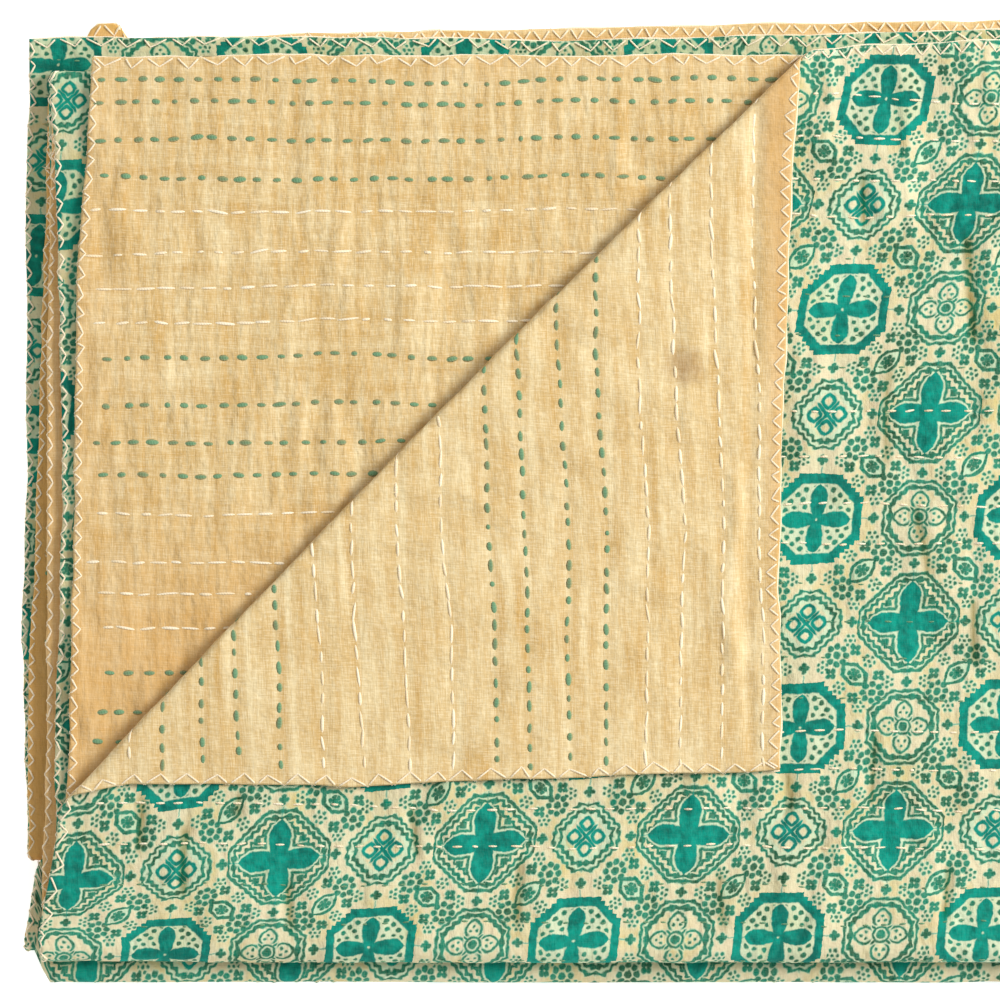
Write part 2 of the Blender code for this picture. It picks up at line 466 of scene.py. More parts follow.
@dataclass(frozen=True)
class StitchRows:
    """Where the rows of running stitches lie on the flat quilt, and each row's thread."""

    plan: FoldPlan
    pitch: float = 12.6 * MM
    wander_height: float = 1.3 * MM
    wander_length: float = 42 * MM
    shiver_height: float = 0.42 * MM
    shiver_length: float = 10 * MM
    rows_of_a_thread: int = 4
    wander: Grain = field(default_factory=lambda: Grain(23))

    def falls(self) -> Array:
        """The rows' falls: those placed by hand at both ends, and evenly spread ones between."""
        _, end = self.plan.flat_spot(0.0, self.plan.back, Layer.SECOND)
        first = np.array(FIRST_ROWS) * MM
        last = end - np.array(LAST_ROWS[::-1]) * MM
        count = round((last[0] - first[-1]) / self.pitch)
        between = np.linspace(first[-1], last[0], count + 1)[1:-1]
        return np.concatenate([first, between, last])

    def threads(self) -> list[Thread]:
        """Each row's thread: ivory and green by turns, four rows of each, from either end."""
        from_start = self.falls().size - len(LAST_ROWS)
        turns = (Thread.IVORY, Thread.GREEN)
        first = [turns[row // self.rows_of_a_thread % 2] for row in range(from_start)]
        last = [turns[1 - row // self.rows_of_a_thread % 2] for row in range(len(LAST_ROWS))]
        return first + last[::-1]

    def levelling(self, run: Array) -> Array:
        """What the last quarter's rows need at a run to lie level in the pack: nothing at its middle."""
        runs = np.append(run, -self.plan.last_fold_centre)
        falls, _ = self.plan.bounds_of_fall(runs)
        x, _ = self.plan.across_pack(runs)
        level = falls[-2] - self.plan.line(QUARTERS - 1, x, 0 * x)
        return (level[:-1] - level[-1]).reshape(np.shape(run))

    def strayed(self, row: Array, run: Array) -> Array:
        """How far a hand-sewn row strays from its straight line at a run."""
        slow = self.wander_height * self.wander(run / self.wander_length, row * 0.61)
        shiver = self.shiver_height * self.wander(run / self.shiver_length, row * 0.37 + 5)
        in_last_quarter = row >= self.falls().size - len(LAST_ROWS)
        return slow + shiver + np.where(in_last_quarter, self.levelling(run), 0)

    def distance(self, run: Array, fall: Array) -> Array:
        """Distance from each point to the nearest row.

        Args:
            run, fall: the points.
        Returns:
            Their distances.
        """
        falls = self.falls()
        above = np.clip(np.searchsorted(falls, fall) - 1, 0, falls.size - 1)
        below = np.clip(above + 1, 0, falls.size - 1)
        to_above = np.abs(fall - falls[above] - self.strayed(above, run))
        to_below = np.abs(fall - falls[below] - self.strayed(below, run))
        return np.minimum(to_above, to_below)


@dataclass(frozen=True)
class Crease:
    """One main crease, placed by hand in mm: a soft ridge, or a trough where its height is below 0."""

    start: Pair
    end: Pair
    height: float
    width: float


MAIN_CREASES = {
    Layer.TURNED_CORNER: (
        Crease((19.0, 130.0), (16.5, 60.0), -1.05, 1.5),
        Crease((16.5, 60.0), (14.0, -20.0), -0.84, 1.3),
        Crease((14.0, -20.0), (15.5, -84.0), -0.98, 1.4),
        Crease((10.5, 10.0), (8.5, -60.0), 0.77, 2.6),
        Crease((3.0, -15.0), (9.5, -52.0), 0.70, 3.2),
        Crease((-3.0, 60.0), (-6.0, -10.0), 0.49, 3.5),
    ),
    Layer.SECOND: (
        Crease((-101.0, 109.5), (-38.0, 112.5), -0.63, 0.8),
        Crease((-100.0, 107.5), (-40.0, 110.8), 0.49, 1.1),
        Crease((-28.0, 135.0), (-28.5, 105.0), 0.84, 1.8),
        Crease((-25.0, 133.0), (-25.0, 108.0), -0.63, 1.6),
    ),
    Layer.TOP: (
        Crease((53.5, 107.0), (53.0, 90.0), -0.94, 1.3),
        Crease((87.0, 88.0), (89.0, 52.0), -1.08, 1.4),
        Crease((61.0, 44.0), (60.0, 12.0), -0.68, 1.4),
        Crease((70.0, -2.0), (74.0, -26.0), -0.68, 1.3),
        Crease((-184.5, -99.0), (-186.0, -117.0), -0.94, 1.3),
        Crease((-170.5, -108.0), (-172.0, -131.0), -0.94, 1.4),
        Crease((-152.5, -97.0), (-153.5, -106.0), -0.81, 1.2),
        Crease((-137.5, -125.0), (-136.5, -142.0), -0.81, 1.3),
        Crease((-96.0, -100.0), (-94.0, -118.0), -0.68, 1.3),
        Crease((-60.0, -118.0), (-61.5, -140.0), -0.74, 1.4),
        Crease((57.0, -75.0), (55.0, -100.0), -0.68, 1.3),
        Crease((90.0, -54.0), (88.5, -32.0), -1.01, 1.3),
        Crease((28.0, -88.0), (28.5, -104.0), -0.81, 1.2),
        Crease((81.0, -120.0), (80.0, -138.0), -0.81, 1.3),
        Crease((5.0, -122.0), (6.0, -142.0), -0.68, 1.3),
    ),
}


@dataclass(frozen=True)
class Puckers:
    """The unevenness of the quilted cloth, as heights in metres over the flat quilt."""

    plan: FoldPlan
    rows: StitchRows
    dip: float = 0.42 * MM
    dip_width: float = 2.2 * MM
    usual_depth: float = 0.75
    depth_change: Relief = Relief(31, 5.5 * MM, 12 * MM, 0.35)
    bend: Relief = Relief(34, 30 * MM, 14 * MM, 3 * MM)
    fine: Relief = Relief(32, 3.3 * MM, 13 * MM, 0.57 * MM)
    broad: Relief = Relief(33, 7.0 * MM, 21 * MM, 0.855 * MM)
    usual_presence: float = 0.6
    presence: Relief = Relief(34, 34 * MM, 29 * MM, 0.5)
    swells: tuple[Relief, ...] = (
        Relief(35, 46 * MM, 38 * MM, 0.42 * MM),
        Relief(36, 15 * MM, 13 * MM, 0.21 * MM),
    )
    top_end: float = 300 * MM
    second_start: float = 905 * MM
    fade: float = 10 * MM
    hidden_share: float = 0.3
    corner_calm: float = 0.55
    corner_fade: float = 12 * MM
    top_extra: float = 0.6
    crease_wander: Relief = Relief(31, 9 * MM, 1 / 900, 0.5 * MM)
    crease_end: float = 3 * MM
    full_hollow: float = 0.75 * MM

    def dips(self, run: Array, fall: Array) -> Array:
        """How much each face is drawn in: a soft trough along every row, deeper in some places."""
        near = np.exp(-((self.rows.distance(run, fall) / self.dip_width) ** 2))
        return self.dip * near * (self.usual_depth + self.depth_change(run, fall))

    def waves(self, run: Array, fall: Array) -> Array:
        """Height that both faces share: short wrinkles across the rows, swells, and main creases.

        The wrinkles are narrow along the rows and long across them. Their height comes and goes.
        They are lower on hidden layers and on the turned corner, and higher on the printed top.

        Args:
            run, fall: the points.
        Returns:
            Their heights.
        """
        bent = run + self.bend(run, fall)
        presence = self.usual_presence + self.presence(run, fall)
        height = presence * (self.fine(bent, fall) + self.broad(bent, fall))
        height = height + sum(swell(run, fall) for swell in self.swells)
        upper = 1 - np.clip(run / self.fade, 0, 1)
        top = np.clip(1 - (fall - self.top_end) / self.fade, 0, 1)
        second = np.clip((fall - self.second_start) / self.fade, 0, 1)
        beyond = np.clip(self.plan.beyond_crease(run, fall) / self.corner_fade, 0, 1)
        shows = np.clip(top + second, 0, 1) * upper * (1 - self.corner_calm * beyond)
        share = (self.hidden_share + (1 - self.hidden_share) * shows) * (1 + self.top_extra * top)
        return height * share + self.creases(run, fall)

    def creases(self, run: Array, fall: Array) -> Array:
        """The main creases: a bell across each wandering line, fading past its ends.

        Args:
            run, fall: the points.
        Returns:
            Their heights.
        """
        total = np.zeros(np.broadcast(run, fall).shape)
        placed = [(layer, crease) for layer, creases in MAIN_CREASES.items() for crease in creases]
        for layer, crease in placed:
            ends = (crease.start, crease.end)
            start, end = (self.plan.flat_spot(x * MM, y * MM, layer) for x, y in ends)
            way = np.array(end) - np.array(start)
            length = float(np.hypot(*way))
            way = way / length
            along = (run - start[0]) * way[0] + (fall - start[1]) * way[1]
            off = (run - start[0]) * way[1] - (fall - start[1]) * way[0]
            off = off + crease.width * self.crease_wander(along, start[0])
            past = np.maximum(np.abs(along - length / 2) - length / 2 + self.crease_end, 0)
            bell = np.exp(-((off / (crease.width * MM)) ** 2) - (past / self.crease_end) ** 2)
            outward = 1 if layer is Layer.TOP else -1
            total = total + outward * crease.height * MM * bell
        return total

    def hollows(self, run: Array, fall: Array) -> Array:
        """How deep each point lies in a main crease, from 0 to 1, as the first of two numbers."""
        depth = np.clip(-self.creases(run, fall) / self.full_hollow, 0, 1)
        return np.stack([depth, np.zeros(depth.shape)], axis=-1)

    def surface(self, side: Side, run: Array, fall: Array) -> Array:
        """The rise of a cloth's outer face."""
        face = self.plan.half_thickness - self.dips(run, fall)
        return side.value * face + self.waves(run, fall)


# ---- Meshes ------------

def make_piece(
    name: str,
    points: Array,
    faces: Sequence[Sequence[int]],
    finish: bpy.types.Material,
    maps: Optional[Mapping[str, Array]] = None,
) -> bpy.types.Object:
    """Put worked-out points and faces into a mesh object at the origin.

    Args:
        name: the piece's name.
        points: one row of x, y and z a point.
        faces: the points of each face.
        finish: the piece's material.
        maps: UV maps, as one pair of numbers a point.
    Returns:
        The new object, shaded smooth.
    """
    mesh = bpy.data.meshes.new(name)
    mesh.from_pydata(points, [], faces)
    corners = np.empty(len(mesh.loops), np.int32)
    mesh.loops.foreach_get("vertex_index", corners)
    for map_name, values in (maps or {}).items():
        layer = mesh.uv_layers.new(name=map_name)
        layer.data.foreach_set("uv", values[corners].astype(np.float32).ravel())
    mesh.materials.append(finish)
    mesh.shade_smooth()
    piece = bpy.data.objects.new(name, mesh)
    bpy.context.scene.collection.objects.link(piece)
    return piece


def net_faces(rows: Array, turned: bool) -> list[list[int]]:
    """Faces between neighbouring points of a net whose point numbers are given as a table."""
    corners = (rows[:-1, :-1], rows[1:, :-1], rows[1:, 1:], rows[:-1, 1:])
    quads = np.stack(corners[::-1] if turned else corners, axis=-1).reshape(-1, 4)
    return quads.tolist()


@dataclass(frozen=True)
class Spacing:
    """A stretch of stations from one value to another, about `step` metres apart over its length."""

    start: float
    end: float
    length: float
    step: float

    def stations(self) -> Array:
        """The stations, without the last one."""
        count = max(1, round(self.length / self.step))
        return np.linspace(self.start, self.end, count + 1)[:-1]


@dataclass(frozen=True)
class Cloth:
    """One cloth of the quilt: an open sheet with its edges rolled over to meet the other cloth."""

    name: str
    side: Side
    plan: FoldPlan
    puckers: Puckers
    columns: tuple[Spacing, ...]
    rows: tuple[Spacing, ...]
    sparse_rows: tuple[Pair, ...]
    roll: float = 0.7 * MM
    roll_steps: tuple[float, ...] = (1.0, 0.9, 0.65, 0.35)
    sparse_step: float = 11 * MM
    sparse_from: float = 34 * MM
    fold_step: float = 2.4 * MM
    fold_margin: float = 3 * MM

    def with_rolls(self, spacings: Sequence[Spacing]) -> tuple[Array, Array]:
        """Stations with those of the rolled edges added, and how far each lies beyond its edge."""
        inner = np.concatenate([part.stations() for part in spacings] + [[spacings[-1].end]])
        over = np.array(self.roll_steps) * self.roll
        values = np.concatenate([np.full(over.size, inner[0]), inner, np.full(over.size, inner[-1])])
        beyond = np.concatenate([-over, np.zeros(inner.size), over[::-1]])
        return values, beyond

    def flat_net(self) -> tuple[Array, Array, Array, Array, Array]:
        """The whole net on the flat quilt: run, fall, how far beyond the edges, and the stations."""
        across, side_beyond = self.with_rolls(self.columns)
        along, end_beyond = self.with_rolls(self.rows)
        across, along = np.meshgrid(across, along)
        upper = self.plan.edge_run(Half.UPPER, along)
        under = self.plan.edge_run(Half.UNDER, along)
        run = np.interp(across, (1, 2), (0, self.plan.last_fold_run))
        run = np.where(across < 1, upper * (1 - across), run)
        run = np.where(across > 2, run + (under - self.plan.last_fold_run) * (across - 2), run)
        fall = self.plan.fall_at(along, run)
        beyond = np.hypot(side_beyond[None, :], end_beyond[:, None])
        run = run + side_beyond[None, :]
        fall = fall + end_beyond[:, None]
        return run, fall, beyond, across[0], along[:, 0]

    def sparse_columns(self, run_row: Array) -> Array:
        """The columns that go on over hidden layers: close by the side edges, far apart elsewhere."""
        kept = [0]
        for column, run in enumerate(run_row[:-1]):
            from_edge = min(run - run_row[0], run_row[-1] - run)
            in_last_fold = -self.fold_margin < run < self.plan.last_fold_run + self.fold_margin
            step = self.fold_step if in_last_fold else self.sparse_step
            if column and (from_edge < self.sparse_from or run - run_row[kept[-1]] >= step):
                kept.append(column)
        return np.array(kept + [run_row.size - 1])

    def build(self, finish: bpy.types.Material, maps: Callable) -> bpy.types.Object:
        """Make the cloth.

        Over hidden layers only some columns go on, and where they stop a many-cornered face joins
        the close net to the open one, so that the sheet has no cracks.

        Args:
            finish: its material.
            maps: gives the UV maps of points by their run and fall.
        Returns:
            The cloth.
        """
        run, fall, beyond, _, along = self.flat_net()
        rolled = np.sqrt(np.clip(1 - (beyond / self.roll) ** 2, 0, 1))
        face = self.plan.half_thickness - self.puckers.dips(run, fall)
        rise = self.side.value * face * rolled + self.puckers.waves(run, fall)
        middle_row = run.shape[0] // 2
        kept = self.sparse_columns(run[middle_row])
        is_sparse = np.zeros(along.size, bool)
        for start, end in self.sparse_rows:
            is_sparse |= (along > start) & (along < end)
        used = np.ones(run.shape, bool)
        skipped = np.setdiff1d(np.arange(run.shape[1]), kept)
        used[np.ix_(is_sparse, skipped)] = False
        number = np.full(run.shape, -1)
        number[used] = np.arange(used.sum())
        turned = self.side is Side.BACKING
        faces = []
        for row in range(along.size - 1):
            pair = number[row : row + 2]
            if not is_sparse[row] and not is_sparse[row + 1]:
                faces += net_faces(pair, turned)
            elif is_sparse[row] and is_sparse[row + 1]:
                faces += net_faces(pair[:, kept], turned)
            else:
                close = 1 if is_sparse[row] else 0
                for left, right in zip(kept[:-1], kept[1:]):
                    near = pair[close, left : right + 1].tolist()
                    far = [pair[1 - close, right], pair[1 - close, left]]
                    loop = near + [int(point) for point in far]
                    faces.append(loop if (close == 0) == turned else loop[::-1])
        points = self.plan.place(run[used], fall[used], rise[used])
        return make_piece(self.name, points, faces, finish, maps(run[used], fall[used]))


# How far along a stitch its rings of points lie, from -1 to 1: on broad stitches and on small ones.
RINGS = (-1.0, -0.8, -0.4, 0.0, 0.4, 0.8, 1.0)
FEW_RINGS = (-1.0, -0.65, 0.0, 0.65, 1.0)


@dataclass(frozen=True)
class RunningStitch:
    """The form of one running stitch, plump in its middle and sunk in the cloth at its ends."""

    length: float
    gap: float
    radius: float
    flatness: float
    sides: int
    fullness: float
    length_spread: float = 0.18
    tilt_spread: float = 0.07
    rings: tuple[float, ...] = RINGS
    shift: float = 0.13
    lengths: Pair = (0.45, 1.5)
    girths: Pair = (0.8, 1.15)
    end_radius: float = 0.16
    end_depth: float = 0.9
    sunk: float = 0.25

    @property
    def pitch(self) -> float:
        """From the start of one stitch to the start of the next."""
        return self.length + self.gap


def tube_points(
    run: Array, fall: Array, rise: Array, radius: Array, sides: int, flatness: float
) -> tuple[Array, Array, Array]:
    """Rings of points round lines on the flat quilt.

    A ring lies across its line: its points stand off by the radius times cosine across the line, and
    by the radius times flatness times sine in rise.

    Args:
        run, fall, rise, radius: arrays whose last axis goes along each line.
        sides: points of a ring.
        flatness: the ring's height over its width.
    Returns:
        The run, fall and rise of each point, with the ring on a new last axis.
    """
    along_run, along_fall = np.gradient(run, axis=-1), np.gradient(fall, axis=-1)
    length = np.hypot(along_run, along_fall) + 1e-12
    angle = 2 * math.pi * np.arange(sides) / sides
    across = radius[..., None] * np.cos(angle)
    ring_run = run[..., None] - across * (along_fall / length)[..., None]
    ring_fall = fall[..., None] + across * (along_run / length)[..., None]
    ring_rise = rise[..., None] + flatness * radius[..., None] * np.sin(angle)
    return ring_run, ring_fall, ring_rise


def tube_faces(first: int, rings: int, sides: int) -> list[list[int]]:
    """Faces of one closed tube whose points are numbered ring by ring from `first`."""
    table = first + np.arange(rings * sides).reshape(rings, sides)
    wrapped = np.column_stack([table, table[:, 0]])
    return net_faces(wrapped, True) + [table[0].tolist(), table[-1, ::-1].tolist()]


def pairs(one: Array, two: Array, shape: tuple[int, ...]) -> Array:
    """Two arrays spread over a shape, as one pair of numbers a point."""
    return np.stack([np.broadcast_to(one, shape), np.broadcast_to(two, shape)], axis=-1).reshape(-1, 2)


@dataclass(frozen=True)
class StitchPatch:
    """A stretch of the flat quilt that is sewn over in geometry."""

    first_run: float
    last_run: float
    first_fall: float
    last_fall: float


@dataclass(frozen=True)
class SewnStretches:
    """Where the sewn stretches end: the edges, the corner and its flap, and the top of the face."""

    first_run: float = -440 * MM
    last_run: float = 1.0
    past_rows: float = 20 * MM
    edge_to: float = -370 * MM
    lower_edge_from: float = 375 * MM
    corner_to: Pair = (-175 * MM, 250 * MM)
    flap_to: Pair = (-165 * MM, 310 * MM)
    face_fall: float = 325 * MM

    def patches(self, last_fold_run: float, last_row: float) -> list[tuple[StitchPatch, ...]]:
        """The stretches of the backing, and those of the printed face.

        Args:
            last_fold_run: where the under half begins.
            last_row: the fall of the last row.
        Returns:
            Both faces' stretches.
        """
        end = last_row + self.past_rows
        left, right = self.first_run, self.last_run
        edges = (
            StitchPatch(left, self.edge_to, 0, end),
            StitchPatch(last_fold_run + self.lower_edge_from, right, 0, end),
        )
        (corner_run, corner_fall), (flap_run, flap_fall) = self.corner_to, self.flap_to
        corner = StitchPatch(left, corner_run, 0, corner_fall)
        flap = StitchPatch(left, flap_run, end - flap_fall, end)
        return [(corner, flap, *edges), (StitchPatch(left, right, 0, self.face_fall), *edges)]


@dataclass(frozen=True)
class RunningStitches:
    """All the running stitches of one thread on one face."""

    name: str
    side: Side
    thread: Thread
    form: RunningStitch
    plan: FoldPlan
    rows: StitchRows
    puckers: Puckers
    patches: tuple[StitchPatch, ...]
    seed: int
    edge_margin: float = 2 * MM
    first_stitch: Pair = (1, 6)

    def centres(self) -> tuple[Array, Array, Array]:
        """Run, row number and length of every stitch, unevenly spaced as by hand."""
        chance = np.random.default_rng(self.seed)
        form, margin = self.form, self.edge_margin
        falls = self.rows.falls()
        runs, numbers, lengths = [], [], []
        for number, thread in enumerate(self.rows.threads()):
            fall = falls[number]
            first = self.plan.edge_run(Half.UPPER, np.array(0.0)) + chance.uniform(*self.first_stitch) * MM
            last = self.plan.edge_run(Half.UNDER, np.array(LAST_STATION))
            count = int((last - first) / form.pitch)
            run = first + form.pitch * (np.arange(count) + chance.uniform(-form.shift, form.shift, count))
            length = 1 + form.length_spread * chance.normal(0, 1, count)
            if thread is not self.thread:
                continue
            kept = np.zeros(count, bool)
            for patch in self.patches:
                within_fall = patch.first_fall <= fall <= patch.last_fall
                kept |= within_fall & (run >= patch.first_run) & (run <= patch.last_run)
            bounds, _ = self.plan.bounds_of_fall(run)
            kept &= (fall > bounds[0] + margin) & (fall < bounds[-1] - margin)
            runs.append(run[kept])
            lengths.append(form.length * np.clip(length[kept], *form.lengths))
            numbers.append(np.full(int(kept.sum()), number))
        return np.concatenate(runs), np.concatenate(numbers), np.concatenate(lengths)

    def build(self, finish: bpy.types.Material) -> bpy.types.Object:
        """Make every stitch: a thread that rises from the cloth, lies on it and goes in again.

        Along a stitch u goes from -1 to 1. Its radius falls off as 1 less u to the power of the
        form's fullness, and its middle line sinks into the cloth as u to the fourth.

        Args:
            finish: the thread's material.
        Returns:
            The stitches, joined in one mesh.
        """
        form = self.form
        centre, number, length = self.centres()
        u = np.array(form.rings)
        along = u * length[:, None] / 2
        run = centre[:, None] + along
        chance = np.random.default_rng(self.seed + 1)
        tilt = chance.normal(0, form.tilt_spread, centre.size)[:, None]
        fall = self.rows.falls()[number][:, None] + self.rows.strayed(number[:, None], run) + tilt * along
        girth = form.radius * chance.uniform(*form.girths, centre.size)[:, None]
        radius = girth * np.clip(1 - np.abs(u) ** form.fullness, form.end_radius, 1)
        face = self.puckers.surface(self.side, run, fall)
        lift = radius * form.flatness * (1 - form.sunk) - girth * form.end_depth * u**4
        rings = tube_points(run, fall, face + self.side.value * lift, radius, form.sides, form.flatness)
        points = self.plan.place(*rings).reshape(-1, 3)
        tube = tube_faces(0, len(u), form.sides)
        first = (np.arange(centre.size) * len(u) * form.sides)[:, None, None]
        faces = (np.array(tube[:-2])[None] + first).reshape(-1, 4).tolist()
        faces += (np.array(tube[-2:])[None] + first).reshape(-1, form.sides).tolist()
        around = np.arange(form.sides) / form.sides
        shade = chance.uniform(0, 1, centre.size)[:, None, None]
        maps = {
            "thread": pairs(along[..., None], around, rings[0].shape),
            "stitch": pairs(np.abs(u)[:, None], shade, rings[0].shape),
        }
        return make_piece(self.name, points, faces, finish, maps)


@dataclass(frozen=True)
class EdgeStitches:
    """Ivory zigzag stitches over all four edges, and the thread that binds them along the edge."""

    plan: FoldPlan
    puckers: Puckers
    pitch: float = 6.2 * MM
    wide_pitch: float = 9.0 * MM
    wide_fall: float = 300 * MM
    last_fall: float = 895 * MM
    depth: float = 2.75 * MM
    second_depth: float = 1.9 * MM
    hidden_depth: float = 1.2 * MM
    radius: float = 0.32 * MM
    binding_radius: float = 0.45 * MM
    outside: float = 0.7 * MM
    steps: int = 4
    sides: int = 6
    shift: float = 0.28
    depths: Pair = (0.75, 1.2)
    over_edge: float = 1.6
    stand_off: float = 0.7
    sink: float = 1.2
    sink_width: float = 0.22
    binding_step: float = 2.2 * MM
    binding_out: float = 0.75
    binding_sway: float = 0.3
    binding_rise: float = 0.4 * MM
    sway_lengths: Pair = (6 * MM, 5 * MM)
    seeds: tuple[int, int] = (70, 90)
    finely: int = 2001

    def edge_points(self, edge: int, e: Array, inward: Array) -> tuple[Array, Array]:
        """Run and fall of points a given way inside one of the four edges.

        Args:
            edge: 0 the upper half's side, 1 the other end, 2 the under half's side, 3 the first end.
            e: share of the edge's length, from 0 to 1.
            inward: distance from the edge into the cloth.
        Returns:
            The run and the fall of each point.
        """
        if edge in (0, 2):
            half = Half.UPPER if edge == 0 else Half.UNDER
            along = self.station_of(half, e if edge == 0 else 1 - e)
            edge_run = self.plan.edge_run(half, along)
            run = edge_run + (inward if edge == 0 else -inward)
            return run, self.plan.fall_at(along, edge_run)
        along = LAST_STATION if edge == 1 else 0.0
        share = e if edge == 1 else 1 - e
        start = self.plan.edge_run(Half.UPPER, np.array(along))
        end = self.plan.edge_run(Half.UNDER, np.array(along))
        run = start + (end - start) * share
        fall = self.plan.fall_at(np.full(run.shape, along), run)
        return run, fall + (-inward if edge == 1 else inward)

    def station_of(self, half: Half, share: Array) -> Array:
        """The station at an even share of a side edge's length."""
        along = np.linspace(0, LAST_STATION, 701)
        fall = self.plan.fall_at(along, self.plan.edge_run(half, along))
        return np.interp(fall[0] + share * (fall[-1] - fall[0]), fall, along)

    def edge_length(self, edge: int) -> float:
        """Length of an edge on the flat quilt."""
        ends = self.edge_points(edge, np.array([0.0, 1.0]), np.zeros(2))
        return float(np.hypot(ends[0][1] - ends[0][0], ends[1][1] - ends[1][0]))

    def zigzag(self, edge: int, side: Side, seed: int) -> tuple[Array, Array, Array]:
        """The line of a zigzag thread: straight ways between points by turns on and inside the edge.

        Args:
            edge: which edge, as in edge_points.
            side: the face that it lies on.
            seed: for the uneven teeth.
        Returns:
            The run, fall and rise of the line's points.
        """
        chance = np.random.default_rng(seed)
        share = np.linspace(0, 1, self.finely)
        _, fall = self.edge_points(edge, share, np.zeros(share.size))
        wide = fall < self.wide_fall if edge == 0 else np.full(share.size, edge == 1)
        teeth = np.cumsum(self.edge_length(edge) / share.size / np.where(wide, self.wide_pitch, self.pitch))
        corners = 2 * round(teeth[-1]) + 1
        order = np.arange(corners) + chance.uniform(-self.shift, self.shift, corners)
        e = np.interp(order / (corners - 1), (teeth - teeth[0]) / (teeth[-1] - teeth[0]), share)
        e[0], e[-1] = 0, 1
        inner = np.arange(corners) % 2 == 1
        _, fall = self.edge_points(edge, e, np.zeros(corners))
        depth = np.full(corners, self.depth)
        if edge in (0, 2):
            depth[fall > self.wide_fall] = self.hidden_depth
            depth[(fall > self.last_fall) & (edge == 0)] = self.second_depth
        inward = np.where(inner, depth * chance.uniform(*self.depths, corners), -self.outside)
        fine = np.linspace(0, corners - 1, (corners - 1) * self.steps + 1)
        e, inward = np.interp(fine, np.arange(corners), e), np.interp(fine, np.arange(corners), inward)
        run, fall = self.edge_points(edge, e, inward)
        on_cloth = np.clip((inward + self.outside) / (self.over_edge * self.outside), 0, 1)
        wave = self.puckers.waves(run, fall)
        height = self.puckers.surface(side, run, fall) - wave + side.value * self.radius * self.stand_off
        sunk = np.exp(-(((fine % 2) - 1) / self.sink_width) ** 2)
        rise = wave + height * np.sqrt(on_cloth) - side.value * self.radius * self.sink * sunk
        return run, fall, rise

    def binding(self, edge: int, seed: int) -> tuple[Array, Array, Array]:
        """The line of the thread that runs on along an edge, swaying a little.

        Args:
            edge: which edge, as in edge_points.
            seed: for the sway.
        Returns:
            The run, fall and rise of the line's points.
        """
        sway = Grain(seed)
        length = self.edge_length(edge)
        e = np.linspace(0, 1, round(length / self.binding_step) + 1)
        aside, upward = (e * length / sway_length for sway_length in self.sway_lengths)
        inward = -self.outside * (self.binding_out + self.binding_sway * sway(aside, 1.0))
        run, fall = self.edge_points(edge, e, inward)
        return run, fall, self.puckers.waves(run, fall) + self.binding_rise * sway(upward, 9.0)

    def build(self, name: str, finish: bpy.types.Material) -> bpy.types.Object:
        """Make the zigzags of both faces and the binding threads, joined in one mesh.

        Args:
            name: the piece's name.
            finish: the thread's material.
        Returns:
            The new piece.
        """
        points, faces, maps = [], [], []
        total = 0
        zigzags, bindings = self.seeds
        for edge in range(4):
            seeds = {side: zigzags + 10 * edge + side.value for side in Side}
            lines = [(self.zigzag(edge, side, seed), self.radius) for side, seed in seeds.items()]
            if edge in (1, 3):
                lines.append((self.binding(edge, bindings + edge), self.binding_radius))
            for (run, fall, rise), radius in lines:
                rings = tube_points(run, fall, rise, np.full(run.shape, radius), self.sides, 1.0)
                points.append(self.plan.place(*rings).reshape(-1, 3))
                faces += tube_faces(total, run.size, self.sides)
                total += run.size * self.sides
                gone = np.concatenate([[0], np.cumsum(np.hypot(np.diff(run), np.diff(fall)))])
                maps.append(pairs(gone[:, None], np.arange(self.sides) / self.sides, rings[0].shape))
        return make_piece(name, np.concatenate(points), faces, finish, {"thread": np.concatenate(maps)})


# ---- Shader maths ------------

Term = Union["Reading", float, int]
Colour = Union[bpy.types.NodeSocket, tuple]


def operator(operation: str, meaning: str, swapped: bool = False) -> Callable:
    """A method of Reading that adds one Math node.

    Args:
        operation: the node's operation.
        meaning: what the method gives, for its docstring.
        swapped: whether the other term comes first.
    Returns:
        The method.
    """

    def method(self: "Reading", *others: Term) -> "Reading":
        """Add the node on this reading and the other terms."""
        terms = (self, *others)
        return self.desk.maths(operation, *(terms[::-1] if swapped else terms))

    method.__doc__ = meaning
    return method


